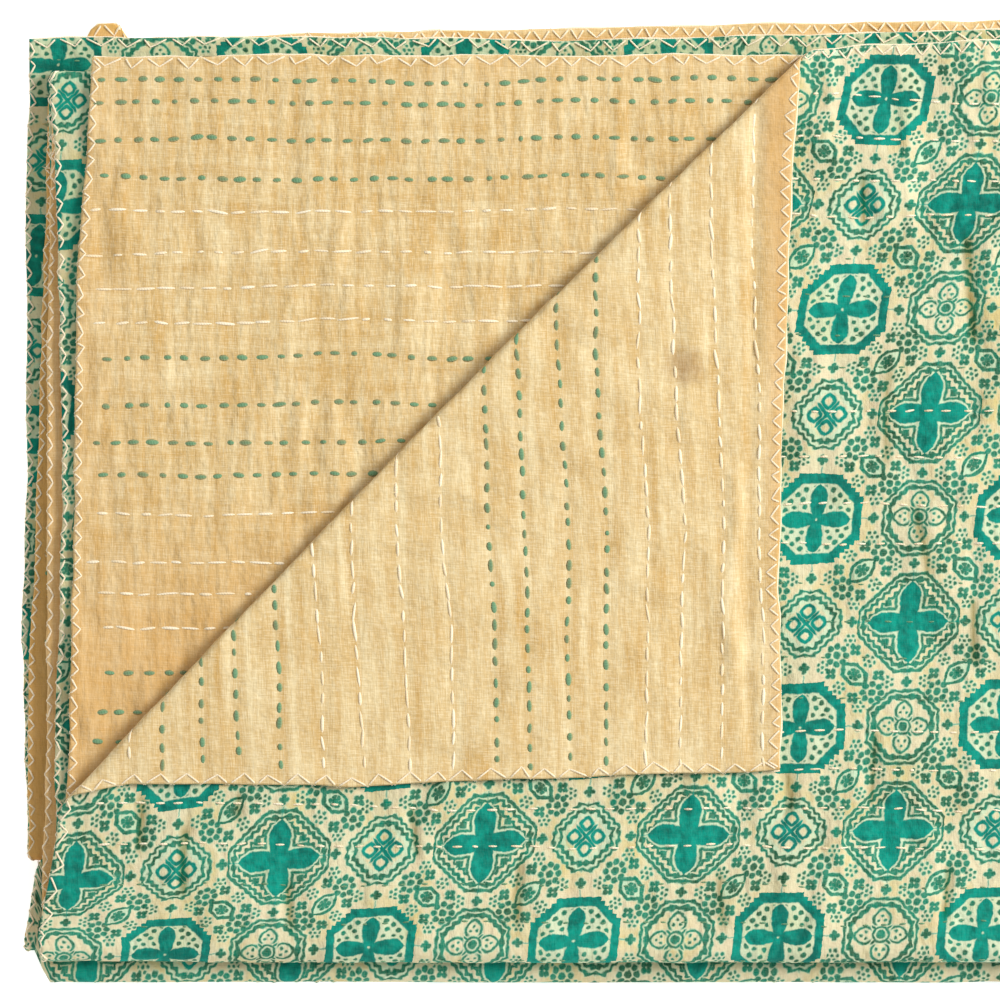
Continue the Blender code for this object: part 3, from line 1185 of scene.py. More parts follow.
class Reading:
    """A number that a material works out at each point. An expression on it adds Math nodes."""

    __add__ = __radd__ = operator("ADD", "Sum.")
    __sub__ = operator("SUBTRACT", "Difference.")
    __rsub__ = operator("SUBTRACT", "Difference from a number.", swapped=True)
    __mul__ = __rmul__ = operator("MULTIPLY", "Product.")
    __truediv__ = operator("DIVIDE", "Quotient.")
    __pow__ = operator("POWER", "Power.")
    __abs__ = operator("ABSOLUTE", "Size without its sign.")
    most = operator("MAXIMUM", "The greater of two.")
    least = operator("MINIMUM", "The smaller of two.")
    sine = operator("SINE", "Sine.")
    cosine = operator("COSINE", "Cosine.")
    floor = operator("FLOOR", "The next whole number down.")
    modulo = operator("FLOORED_MODULO", "What is left over from whole multiples of another.")
    snapped = operator("SNAP", "The next multiple of another down.")
    swung = operator("PINGPONG", "Folded to and fro between 0 and another.")
    bearing = operator("ARCTAN2", "The angle whose sine goes with this and whose cosine with another.")

    def __init__(self, desk: "Desk", socket: bpy.types.NodeSocket) -> None:
        """Wrap a socket of a desk's tree."""
        self.desk = desk
        self.socket = socket

    def clamp(self) -> "Reading":
        """Held between 0 and 1."""
        return self.desk.maths("ADD", self, 0.0, clamp=True)

    def below(self, limit: Term, softness: float = 4.0) -> "Reading":
        """1 where this is below a limit and 0 above it, eased over `softness`."""
        return self.desk.maths("MULTIPLY_ADD", limit - self, 1 / softness, 0.5, clamp=True)

    def above(self, limit: Term, softness: float = 4.0) -> "Reading":
        """1 where this is above a limit and 0 below it, eased over `softness`."""
        return self.desk.maths("MULTIPLY_ADD", self - limit, 1 / softness, 0.5, clamp=True)

    def between(self, low: float, high: float, softness: float = 4.0) -> "Reading":
        """1 where this lies between two numbers."""
        return abs(self - (low + high) / 2).below((high - low) / 2, softness)


class Desk:
    """Lays the nodes of one material."""

    def __init__(self, name: str) -> None:
        """Start a material with an empty tree."""
        self.material = bpy.data.materials.new(name)
        self.material.use_nodes = True
        self.tree = self.material.node_tree
        self.tree.nodes.clear()

    def node(
        self, kind: str, settings: Optional[Mapping] = None, values: Optional[Mapping] = None
    ) -> bpy.types.Node:
        """Add a node.

        Args:
            kind: the node's type.
            settings: its settings, set first; "stops" are a ramp's places and colours.
            values: numbers, colours or links for its sockets, by name or number.
        Returns:
            The new node.
        """
        made = self.tree.nodes.new(kind)
        for name, value in (settings or {}).items():
            if name == "stops":
                self.set_stops(made.color_ramp, value)
            else:
                setattr(made, name, value)
        for name, value in (values or {}).items():
            if isinstance(value, Reading):
                value = value.socket
            if isinstance(value, bpy.types.NodeSocket):
                self.tree.links.new(value, made.inputs[name])
            else:
                made.inputs[name].default_value = value
        return made

    @staticmethod
    def set_stops(ramp: bpy.types.ColorRamp, stops: Sequence[tuple[float, tuple]]) -> None:
        """Give a ramp its stops."""
        while len(ramp.elements) < len(stops):
            ramp.elements.new(1.0)
        for element, (place, colour) in zip(ramp.elements, stops):
            element.position = place
            element.color = colour

    def maths(self, operation: str, *terms: Term, clamp: bool = False) -> Reading:
        """Add a Math node on numbers and readings."""
        settings = {"operation": operation, "use_clamp": clamp}
        return Reading(self, self.node("ShaderNodeMath", settings, dict(enumerate(terms))).outputs[0])

    def uv(self, name: str) -> tuple[Reading, Reading]:
        """The two numbers of one of the piece's UV maps."""
        source = self.node("ShaderNodeUVMap", {"uv_map": name})
        parts = self.node("ShaderNodeSeparateXYZ", None, {0: source.outputs[0]})
        return Reading(self, parts.outputs[0]), Reading(self, parts.outputs[1])

    def cloth(self) -> "Spot":
        """The place on the flat quilt: its run as x and its fall as y, both in mm."""
        run, fall = self.uv("cloth")
        return Spot(run / MM, fall / MM)

    def noise(self, x: Term, y: Term, detail: float, roughness: float, z: float = 0.0) -> Reading:
        """Smooth noise from 0 to 1 at a place, its grains about 1 across."""
        place = self.node("ShaderNodeCombineXYZ", None, {0: x, 1: y, 2: z})
        values = {"Vector": place.outputs[0], "Scale": 1.0, "Detail": detail, "Roughness": roughness}
        return Reading(self, self.node("ShaderNodeTexNoise", None, values).outputs[0])

    def blend(self, share: Term, low: Colour, high: Colour, how: str = "MIX") -> Colour:
        """A colour that share of the way from low to high."""
        settings = {"data_type": "RGBA", "blend_type": how}
        return self.node("ShaderNodeMix", settings, {0: share, 6: low, 7: high}).outputs[2]

    def bump(self, height: Reading, distance: float, strength: float = 1.0) -> bpy.types.NodeSocket:
        """A normal bent by a height."""
        values = {"Height": height, "Distance": distance, "Strength": strength}
        return self.node("ShaderNodeBump", None, values).outputs[0]

    def finish(
        self,
        colour: Colour,
        roughness: float,
        normal: Optional[bpy.types.NodeSocket] = None,
        gloss: float = 0.1,
    ) -> bpy.types.Material:
        """Close the tree with a Principled shader.

        Args:
            colour: the base colour.
            roughness: how matt it is, up to 1.
            normal: a bent normal, if any.
            gloss: how strongly it mirrors.
        Returns:
            The finished material.
        """
        values = {"Base Color": colour, "Roughness": roughness, "Specular IOR Level": gloss}
        if normal is not None:
            values["Normal"] = normal
        shader = self.node("ShaderNodeBsdfPrincipled", None, values)
        self.node("ShaderNodeOutputMaterial", None, {0: shader.outputs[0]})
        return self.material


def linear(red: int, green: int, blue: int) -> tuple[float, float, float, float]:
    """A screen colour from 0 to 255 as the linear colour that shaders take."""
    parts = [part / 255 for part in (red, green, blue)]
    scaled = [part / 12.92 if part <= 0.04045 else ((part + 0.055) / 1.055) ** 2.4 for part in parts]
    return (*scaled, 1.0)


@dataclass(frozen=True)
class Spot:
    """A place on the cloth as two readings."""

    x: Reading
    y: Reading

    def moved(self, x: float, y: float) -> "Spot":
        """Seen from another point."""
        return Spot(self.x - x, self.y - y)

    def mirrored(self) -> "Spot":
        """Folded over both axes."""
        return Spot(abs(self.x), abs(self.y))

    def by_axis(self) -> "Spot":
        """Folded so that x lies along the nearer axis and y off it."""
        both = self.mirrored()
        return Spot(both.x.most(both.y), both.x.least(both.y))

    def size(self) -> Reading:
        """Distance from the middle."""
        return (self.x * self.x + self.y * self.y) ** 0.5

    def sector(self, count: int) -> "Spot":
        """Folded round the middle into one of `count` equal sectors, whose middle lies along x."""
        folded = self.y.bearing(self.x).swung(math.pi / count)
        size = self.size()
        return Spot(size * folded.cosine(), size * folded.sine())

    def stepped(self, step: float) -> "Spot":
        """Held to the middles of small squares, which gives outlines cut in steps."""
        return Spot(self.x.snapped(step) + step / 2, self.y.snapped(step) + step / 2)

    def square(self) -> Reading:
        """Half the side of the square round the middle on which the spot lies."""
        return abs(self.x).most(abs(self.y))

    def octagon(self, height: float, cut: float) -> Reading:
        """Size by an eight-sided measure; the spot is mirrored first."""
        return self.x.most(self.y * height).most((self.x + self.y) * cut)


@dataclass(frozen=True)
class Mottle:
    """Random mottling. Its size is given in grains a millimetre, along the run and along the fall."""

    run: float
    fall: float
    detail: float = 2.0
    roughness: float = 0.5
    draw: float = 0.0
    gain: float = 1.0
    lift: float = 0.0

    def read(self, place: Spot) -> Reading:
        """The bare noise, from 0 to 1."""
        x, y = place.x * self.run, place.y * self.fall
        return place.x.desk.noise(x, y, self.detail, self.roughness, self.draw)

    def sway(self, place: Spot) -> Reading:
        """The noise round 0, times the gain."""
        return (self.read(place) - 0.5) * self.gain

    def share(self, place: Spot) -> Reading:
        """The noise round 0 times the gain, lifted, and held between 0 and 1."""
        return (self.sway(place) + self.lift).clamp()


@dataclass(frozen=True)
class Threads:
    """The fine streaks of a weave's two sets of threads, as a share from 0 to 1."""

    warp: Mottle
    weft: Mottle
    gain: float

    def share(self, place: Spot) -> Reading:
        """Both sets of streaks added up, drawn out round their middle."""
        both = self.warp.read(place) + self.weft.read(place)
        return ((both - 1.0) * self.gain + 0.5).clamp()


# ---- The block print, with every size in its own units ------------

@dataclass(frozen=True)
class Ink:
    """What is printed at a place: solid green, green lines, and a pale mint bleed beside them."""

    solid: Optional[Reading]
    line: Reading
    mint: Optional[Reading]

    def held(self, share: Reading) -> "Ink":
        """Printed only where the share is 1."""
        solid = self.solid * share if self.solid else None
        return Ink(solid, self.line * share, self.mint * share if self.mint else None)

    def over(self, other: "Ink") -> "Ink":
        """Both prints together."""
        solid, mint = self.joined(self.solid, other.solid), self.joined(self.mint, other.mint)
        return Ink(solid, self.line.most(other.line), mint)

    @staticmethod
    def joined(one: Optional[Reading], two: Optional[Reading]) -> Optional[Reading]:
        """The greater of two readings that may be missing."""
        if one and two:
            return one.most(two)
        return one or two


@dataclass(frozen=True)
class Cell:
    """A spot in one cell of the print: as it is, mirrored over both axes, and folded to the nearer one.

    The ripple is a wave from -1 to 1 round the middle, the sine of the mirrored x less y.
    """

    spot: Spot
    both: Spot
    axis: Spot
    ripple: Reading

    RIPPLE_PITCH = 0.55

    @classmethod
    def at(cls, spot: Spot) -> "Cell":
        """See a spot in all the ways that the medallions need."""
        both = spot.mirrored()
        return cls(spot, both, both.by_axis(), ((both.x - both.y) * cls.RIPPLE_PITCH).sine())

    def off_diagonal(self) -> Reading:
        """Distance along an axis to the nearer diagonal."""
        return abs(self.both.x - self.both.y)


@dataclass(frozen=True)
class Leaf:
    """A leaf along x, widest at one place and curving off over other lengths to its tip and foot."""

    widest: float
    to_tip: float
    to_foot: float
    half_width: float
    fullness: float = 1.0

    def off(self, spot: Spot) -> Reading:
        """How far outside the leaf a spot lies: half its width is 1 less a square, to a power."""
        bend = ((spot.x - self.widest) / self.to_tip).most((self.widest - spot.x) / self.to_foot)
        return spot.y - (1 - bend * bend).most(0.0) ** self.fullness * self.half_width


@dataclass(frozen=True)
class Border:
    """A wavy line round a medallion: between two sizes, swaying by the ripple times a height."""

    low: float
    high: float
    wave: float

    def line(self, edge: Reading, ripple: Reading) -> Reading:
        """1 on the line."""
        return (edge + ripple * self.wave).between(self.low, self.high)


@dataclass(frozen=True)
class DotRing:
    """A ring of equal dots: how many, how far out, and their radius."""

    count: int
    reach: float
    radius: float

    def share(self, spot: Spot) -> Reading:
        """1 on the dots."""
        return spot.sector(self.count).moved(self.reach, 0.0).size().below(self.radius)


@dataclass(frozen=True)
class DotFlower:
    """A dot with a ring of others round it."""

    middle: float
    petals: DotRing

    def share(self, spot: Spot) -> Reading:
        """1 on the dots."""
        return spot.size().below(self.middle).most(self.petals.share(spot))


@dataclass(frozen=True)
class SteppedRing:
    """A thick ring cut in steps round four leaves, with dots between them."""

    step: float = 4.5
    step_form: Pair = (1.03, 0.70)
    form: Pair = (1.04, 0.70)
    outside: float = 46.8
    inside: float = 36.6
    crisp: float = 0.01
    leaf: Leaf = Leaf(22.5, 11.5, 26.0, 8.2, 0.75)
    eye: float = 1.5
    dots: tuple[DotRing, ...] = (DotRing(22, 32.2, 2.5), DotRing(14, 25.2, 2.4), DotRing(8, 17.6, 2.2))
    dots_from_leaf: float = 2.2
    dots_within: float = 35.4
    mint_within: float = 38.0
    mint: float = 0.6

    def ink(self, cell: Cell) -> Ink:
        """The medallion's print."""
        measure = cell.both.octagon(*self.form)
        outline = cell.spot.stepped(self.step).mirrored().octagon(*self.step_form)
        band = outline.below(self.outside, self.crisp) * measure.above(self.inside)
        off = self.leaf.off(cell.axis)
        leaves = off.below(0.0) * cell.spot.size().above(self.eye)
        one, two, three = (ring.share(cell.spot) for ring in self.dots)
        free = off.above(self.dots_from_leaf) * measure.below(self.dots_within)
        dots = one.most(two).most(three) * free
        return Ink(band.most(leaves), dots, measure.below(self.mint_within) * self.mint)


@dataclass(frozen=True)
class BorderedMedallion:
    """What three medallions share: an eight-sided form, two wavy borders, and a mint bleed."""

    form: Pair
    borders: tuple[Border, Border]
    mint_border: Pair
    mint: float

    def edge_and_lines(self, cell: Cell) -> tuple[Reading, Reading]:
        """The size by the medallion's form, and 1 on its borders."""
        edge = cell.both.octagon(*self.form)
        one, two = (border.line(edge, cell.ripple) for border in self.borders)
        return edge, one.most(two)


@dataclass(frozen=True)
class PointedCross(BorderedMedallion):
    """Four pointed leaves, each in an outline, within an angled frame and a double border."""

    form: Pair = (1.06, 0.82)
    borders: tuple[Border, Border] = (Border(49.0, 52.4, 0.5), Border(42.6, 46.6, 1.3))
    leaf: Leaf = Leaf(24.5, 16.0, 40.0, 10.4)
    contour: Pair = (2.6, 5.0)
    contour_along: Pair = (12.0, 36.0)
    dot_place: Pair = (22.0, 20.0)
    dot_half: float = 3.2
    frame: Border = Border(42.0, 46.4, 2.0)
    frame_from_leaf: float = 2.4
    mint_border: Pair = (45.6, 50.0)
    mint_beside_leaf: Pair = (0.0, 3.2)
    mint: float = 0.9

    def ink(self, cell: Cell) -> Ink:
        """The medallion's print."""
        edge, line = self.edge_and_lines(cell)
        off = self.leaf.off(cell.axis)
        contour = off.between(*self.contour) * cell.axis.x.between(*self.contour_along)
        dot = cell.both.moved(*self.dot_place).square().below(self.dot_half)
        frame = self.frame.line(cell.both.x + cell.both.y, cell.ripple) * off.above(self.frame_from_leaf)
        mint = edge.between(*self.mint_border).most(off.between(*self.mint_beside_leaf))
        return Ink(off.below(0.0), line.most(contour).most(dot).most(frame), mint * self.mint)


@dataclass(frozen=True)
class OutlinedFlower(BorderedMedallion):
    """Four outlined petals round a ringed dot, in a thin and a thick wavy border."""

    form: Pair = (0.98, 0.705)
    borders: tuple[Border, Border] = (Border(34.2, 36.9, 0.5), Border(27.4, 31.8, 0.9))
    petal_middle: float = 15.6
    petal_slant: float = 1.2
    petal_point: float = 0.2
    petal_line: Pair = (7.2, 9.2)
    petal_from: float = 8.8
    seed_places: tuple[Pair, ...] = ((19.0, 0.0), (14.2, 3.3))
    seed: float = 1.25
    dot: float = 4.3
    dot_ring: Pair = (6.4, 8.4)
    stem_half: float = 1.4
    stem_along: Pair = (7.0, 13.5)
    mint_border: Pair = (31.0, 35.0)
    mint: float = 0.8

    def ink(self, cell: Cell) -> Ink:
        """The medallion's print."""
        edge, line = self.edge_and_lines(cell)
        petal = cell.axis.moved(self.petal_middle, 0.0)
        lobe = petal.size() - (petal.x - petal.y * self.petal_slant).most(0.0) * self.petal_point
        line = line.most(lobe.between(*self.petal_line) * cell.axis.x.above(self.petal_from))
        for place in self.seed_places:
            line = line.most(cell.axis.moved(*place).size().below(self.seed))
        middle = cell.spot.size()
        line = line.most(middle.below(self.dot)).most(middle.between(*self.dot_ring))
        stem = cell.off_diagonal().below(self.stem_half) * middle.between(*self.stem_along)
        return Ink(None, line.most(stem), edge.between(*self.mint_border) * self.mint)


@dataclass(frozen=True)
class LoopedCross(BorderedMedallion):
    """Four looped bands that cross in the middle, in a double wavy border."""

    form: Pair = (1.02, 0.775)
    borders: tuple[Border, Border] = (Border(31.8, 34.6, 1.0), Border(24.6, 28.6, 1.2))
    loop_middle: float = 12.6
    loop_round: float = 0.6
    loop_pointed: float = 0.35
    loop_line: Pair = (4.4, 7.8)
    cross_half: float = 2.2
    cross_reach: float = 11.0
    mint_border: Pair = (20.0, 34.0)
    mint: float = 0.8

    def ink(self, cell: Cell) -> Ink:
        """The medallion's print."""
        edge, line = self.edge_and_lines(cell)
        loop = cell.axis.moved(self.loop_middle, 0.0)
        size = loop.size() * self.loop_round + (abs(loop.x) + loop.y) * self.loop_pointed
        cross = cell.off_diagonal().below(self.cross_half) * cell.both.x.below(self.cross_reach)
        solid = size.between(*self.loop_line).most(cross)
        return Ink(solid, line, edge.between(*self.mint_border) * self.mint)


@dataclass(frozen=True)
class GapFiller:
    """A small diamond in each gap between cells, with a cluster of tiny dots on each side."""

    gap: float = 45.5
    diamond: float = 4.6
    lobe_reach: float = 3.2
    lobe: float = 2.1
    cluster_place: float = 19.0
    cluster: DotFlower = DotFlower(1.4, DotRing(6, 5.1, 1.4))

    def ink(self, cell: Cell) -> Ink:
        """The fillers' print."""
        axis = cell.axis
        gap = Spot(abs(axis.x - self.gap), axis.y)
        lobes = gap.by_axis().moved(self.lobe_reach, 0.0).size().below(self.lobe)
        cluster = self.cluster.share(axis.moved(self.gap, self.cluster_place))
        return Ink(None, (gap.x + gap.y).below(self.diamond).most(lobes).most(cluster), None)


@dataclass(frozen=True)
class CornerFiller:
    """An eye where four cells meet, with two rosettes, two clusters and four crosslets round it.

    At every other corner the eye has pointed ends. Between them it is six-sided and leans the other way.
    """

    eye_half: float = 10.2
    eye_reach: float = 16.6
    blunt_eye: tuple[float, float, float] = (9.9, 12.7, 11.2)
    eye_line: Pair = (0.72, 1.02)
    eye_inside: float = 0.62
    eye_softness: float = 0.3
    pupil: DotFlower = DotFlower(3.2, DotRing(6, 5.0, 2.3))
    rosette: DotFlower = DotFlower(3.6, DotRing(8, 8.8, 2.9))
    rosette_place: float = 25.8
    cluster: DotFlower = DotFlower(1.4, DotRing(6, 5.1, 1.4))
    cluster_place: float = 19.5
    crosslets: Pair = (23.3, 24.0)
    lobe_place: float = 2.5
    lobe: float = 2.5
    body: Pair = (1.0, 3.2)
    mint_within: float = 0.95
    mint: float = 0.9

    def ink(self, corner: Spot, odd: Reading) -> Ink:
        """The fillers' print round a corner.

        Args:
            corner: the place, seen from the corner.
            odd: 1 at every other corner, 0 at the rest.
        Returns:
            The ink there.
        """
        sign = 1 - odd * 2
        across = (corner.x + corner.y * sign) * math.sqrt(0.5)
        down = (corner.x - corner.y * sign) * math.sqrt(0.5)
        near = corner.mirrored()
        lens = abs(across) / self.eye_half + (down / self.eye_reach) ** 2
        blunt, side, end = self.blunt_eye
        eye = lens * (1 - odd) + (abs(across) / blunt).most(near.x / side).most(near.y / end) * odd
        soft = self.eye_softness
        line = eye.between(*self.eye_line, soft)
        line = line.most(self.pupil.share(Spot(across, down)) * eye.below(self.eye_inside, soft))
        line = line.most(self.rosette.share(Spot(across, abs(down) - self.rosette_place)))
        line = line.most(self.cluster.share(Spot(abs(across) - self.cluster_place, down)))
        beside = Spot(abs(near.x - self.crosslets[0]), near.y)
        above = Spot(near.x, abs(near.y - self.crosslets[1]))
        away = (self.lobe_place, self.lobe_place)
        lobes = beside.moved(*away).size().least(above.moved(*away).size()).below(self.lobe)
        body = beside.square().least(above.square()).between(*self.body)
        return Ink(None, line.most(lobes).most(body), eye.below(self.mint_within, soft) * self.mint)


# How far each row of the print's cells has moved to the right, in the print's units, by rows down.
COLUMN_SHIFTS = (
    (-9, 132), (-8, 113), (-7, 91), (-6, 68), (-5, 51), (-4, 41), (-3, 30), (-2, 25), (-1, 15), (0, 2),
    (1, -9), (26, -284),
)


@dataclass(frozen=True)
class BlockPrint:
    """Green block print on cream cotton: four medallions by turns, with small fillers between them."""

    unit: float = 0.33 * MM
    cell_across: float = 102.25
    cell_down: float = 104.5
    anchor_x: float = 23.8 * MM
    anchor_fall: float = 303.3 * MM
    tilt: float = 2.0
    slip: float = 1.06e-4
    slip_from: float = -86.0
    most_slip: float = 46.0
    slip_end: float = 30.0
    slip_reach: float = 85.0
    ring: SteppedRing = SteppedRing()
    pointed: PointedCross = PointedCross()
    flower: OutlinedFlower = OutlinedFlower()
    looped: LoopedCross = LoopedCross()
    gap_filler: GapFiller = GapFiller()
    corner_filler: CornerFiller = CornerFiller()
    # The outlines shake finely and drift slowly, across and down, in cells.
    shakes: tuple[Mottle, Mottle] = (Mottle(0.62, 0.62, gain=0.03), Mottle(0.62, 0.62, draw=7.0, gain=0.03))
    drifts: tuple[Mottle, Mottle] = (
        Mottle(0.05, 0.05, 0.0, draw=2.0, gain=0.05),
        Mottle(0.05, 0.05, 0.0, draw=9.0, gain=0.05),
    )
    spread: float = 0.42
    edge_draw: float = 3.0
    stain: Mottle = Mottle(0.07, 0.045, 4.0, 0.62, gain=4.2, lift=0.12)
    blushing: Mottle = Mottle(0.1, 0.12, 3.0, 0.6, draw=5.0, gain=4.0, lift=0.2)
    blush_share: float = 0.5
    mint_reach: float = 2.6
    mint_start: float = 0.2
    mint_share: float = 0.78
    threads: Threads = Threads(Mottle(2.6, 0.4), Mottle(0.4, 2.6, draw=3.0), 2.2)
    fading: Mottle = Mottle(0.035, 0.03, 2.0, draw=6.0, gain=3.0, lift=0.4)
    thread_shade: float = 0.16
    fading_shade: float = 0.22
    patches: Mottle = Mottle(0.3, 0.3, 3.0, gain=3.0)
    patches_by_fading: float = 0.8
    patches_lift: float = 0.1
    line_wear: float = 0.14
    solid_wear: float = 0.03
    # Painted shade: past the first layer the print is darkened towards a greenish tint, as the layers above
    # would shade it.
    first_layer: float = 322.0
    first_layer_fade: float = 12.0
    hidden_shade: float = 0.25
    hollow_shade: float = 0.85
    roughness: float = 0.85
    relief: float = 0.14 * MM
    cream: tuple = linear(226, 217, 178)
    stained: tuple = linear(212, 192, 122)
    blush: tuple = linear(230, 206, 172)
    mint: tuple = linear(186, 228, 196)
    # Worn and faded threads are drawn towards this colour, and it is also the painted shade in the main
    # creases.
    shade: tuple = linear(168, 160, 120)
    solid_green: tuple = linear(0, 146, 126)
    deep_green: tuple = linear(0, 106, 92)
    line_green: tuple = linear(8, 128, 100)
    dark_line_green: tuple = linear(12, 80, 52)
    # The greenish colour of the painted shade on the layers under the first.
    under_layer_shade_tint: tuple = linear(176, 196, 168)

    def cells(self, plan: FoldPlan, run: Array, fall: Array) -> Array:
        """How many cells of the print each point lies from one ring's middle.

        The columns lean as block printing does: each row of cells from the anchor's shifts its
        columns sideways, and the rows tilt slightly. Towards the side edge the cloth has slipped
        down by the square of the distance, less and less down to the fold.

        Args:
            plan: where the folds lie.
            run, fall: the points.
        Returns:
            Columns and rows, as a pair a point.
        """
        x = (run + plan.last_fold_centre - self.anchor_x) / self.unit
        down = (fall - self.anchor_fall) / self.unit
        slip = np.clip(self.slip * np.maximum(self.slip_from - x, 0) ** 2, 0, self.most_slip)
        down = down - slip * np.clip((self.slip_end - down) / self.slip_reach, 0, 1)
        rows = down / self.cell_down
        for _ in range(2):
            columns = (x - np.interp(rows, *zip(*COLUMN_SHIFTS))) / self.cell_across
            rows = (down + self.tilt * columns) / self.cell_down
        return np.stack([columns, rows], axis=-1)

    def ink(self, columns: Reading, rows: Reading) -> Ink:
        """The four medallions by turns, and the fillers between them.

        Args:
            columns, rows: the place, in cells from the anchor.
        Returns:
            The ink there.
        """
        column, row = (columns + 0.5).floor(), (rows + 0.5).floor()
        cell = Cell.at(Spot((columns - column) * self.cell_across, (rows - row) * self.cell_down))
        odd_column, odd_row = column.modulo(2.0), row.modulo(2.0)
        even_column, even_row = 1 - odd_column, 1 - odd_row
        ink = self.ring.ink(cell).held(even_column * even_row)
        ink = ink.over(self.pointed.ink(cell).held(odd_column * odd_row))
        ink = ink.over(self.flower.ink(cell).held(odd_column * even_row))
        ink = ink.over(self.looped.ink(cell).held(even_column * odd_row))
        ink = ink.over(self.gap_filler.ink(cell).held((odd_column - odd_row) ** 2))
        column, row = columns.floor(), rows.floor()
        x, y = (columns - column - 0.5) * self.cell_across, (rows - row - 0.5) * self.cell_down
        return ink.over(self.corner_filler.ink(Spot(x, y), (column + row).modulo(2.0)))

    def sharp(self, share: Reading) -> Reading:
        """A soft shape of the print with its edge drawn together, a little outside its outline."""
        return ((share - self.spread) * self.edge_draw + 0.5).clamp()

    def ground(self, desk: Desk, place: Spot, ink: Ink, worn: Reading, faded: Reading) -> Colour:
        """The cream cotton with its stains, the bleed of the print, and its wear.

        Args:
            desk: the material's desk.
            place: the place on the cloth.
            ink: the print there.
            worn, faded: how worn its threads are, and how faded the cloth.
        Returns:
            The colour under the print.
        """
        colour = desk.blend(self.stain.share(place), self.cream, self.stained)
        colour = desk.blend(self.blushing.share(place) * self.blush_share, colour, self.blush)
        printed = ink.line.most(ink.solid)
        pale = (printed * self.mint_reach - self.mint_start).clamp().most(ink.mint.clamp())
        colour = desk.blend(pale * self.mint_share, colour, self.mint)
        return desk.blend(worn * self.thread_shade + faded * self.fading_shade, colour, self.shade)

    def material(self) -> bpy.types.Material:
        """The printed cotton."""
        desk = Desk("printed_cotton_finish")
        place = desk.cloth()
        strays = [shake.sway(place) + drift.sway(place) for shake, drift in zip(self.shakes, self.drifts)]
        columns, rows = (cells + stray for cells, stray in zip(desk.uv("print"), strays))
        ink = self.ink(columns, rows)
        worn, faded = self.threads.share(place), self.fading.share(place)
        colour = self.ground(desk, place, ink, worn, faded)
        share = (self.patches.sway(place) + faded * self.patches_by_fading + self.patches_lift).clamp()
        green = desk.blend(share, self.solid_green, self.deep_green)
        thin = desk.blend(share, self.line_green, self.dark_line_green)
        colour = desk.blend(self.sharp(ink.line) * (1 - self.line_wear * worn), colour, thin)
        colour = desk.blend(self.sharp(ink.solid) * (1 - self.solid_wear * worn), colour, green)
        # Painted shade: the print is darkened in the main creases, by their depth.
        hollow, _ = desk.uv("hollow")
        colour = desk.blend(hollow.clamp() * self.hollow_shade, colour, self.shade, "MULTIPLY")
        # Painted shade on the layers under the first.
        hidden = ((place.y - self.first_layer) / self.first_layer_fade).clamp()
        colour = desk.blend(hidden * self.hidden_shade, colour, self.under_layer_shade_tint, "MULTIPLY")
        return desk.finish(colour, self.roughness, desk.bump(Weave().height(place), self.relief))


# ---- The other finishes ------------

@dataclass(frozen=True)
class Weave:
    """A plain weave of uneven hand-spun threads."""

    warp: Mottle = Mottle(2.48, 0.22, 1.0)
    weft: Mottle = Mottle(0.22, 2.48, 1.0, draw=5.0)
    thread_height: float = 0.7
    crinkling: Mottle = Mottle(0.42, 0.3)
    crinkle: float = 4.6
    gathering: Mottle = Mottle(0.26, 0.07, 1.0, draw=8.0)
    gathers: float = 4.6

    def height(self, place: Spot, gathered: Term = 1.0) -> Reading:
        """Thread heights: two sets of fine streaks, crossing, a crinkle, and gathers across the rows."""
        threads = (self.warp.read(place) + self.weft.read(place)) * self.thread_height
        crinkle = self.crinkling.read(place) * self.crinkle
        return threads + crinkle + self.gathering.read(place) * self.gathers * gathered


@dataclass(frozen=True)
class Smudge:
    """A brown spot on the turned corner, with a ragged outline. Lengths are in mm."""

    colour: tuple = linear(150, 108, 66)
    place: Pair = (-5.3 * MM, 43.7 * MM)
    radius: float = 4.5
    softness: float = 8.0
    ragged: Mottle = Mottle(0.3, 0.3, 3.0, gain=9.0)
    strength: float = 0.55

    def share(self, place: Spot, plan: FoldPlan) -> Reading:
        """How strongly the spot shows."""
        run, fall = plan.flat_spot(*self.place, Layer.TURNED_CORNER)
        off = place.moved(run / MM, fall / MM).size() + self.ragged.sway(place)
        return off.below(self.radius, self.softness) * self.strength


@dataclass(frozen=True)
class Fade:
    """A stain that comes in from a place over a width, up to its strength. Lengths are in mm."""

    start: float
    width: float
    strength: float = 1.0

    def share(self, past: Reading) -> Reading:
        """How strong it is where a reading lies so far past its zero."""
        return ((past - self.start) / self.width).clamp() * self.strength


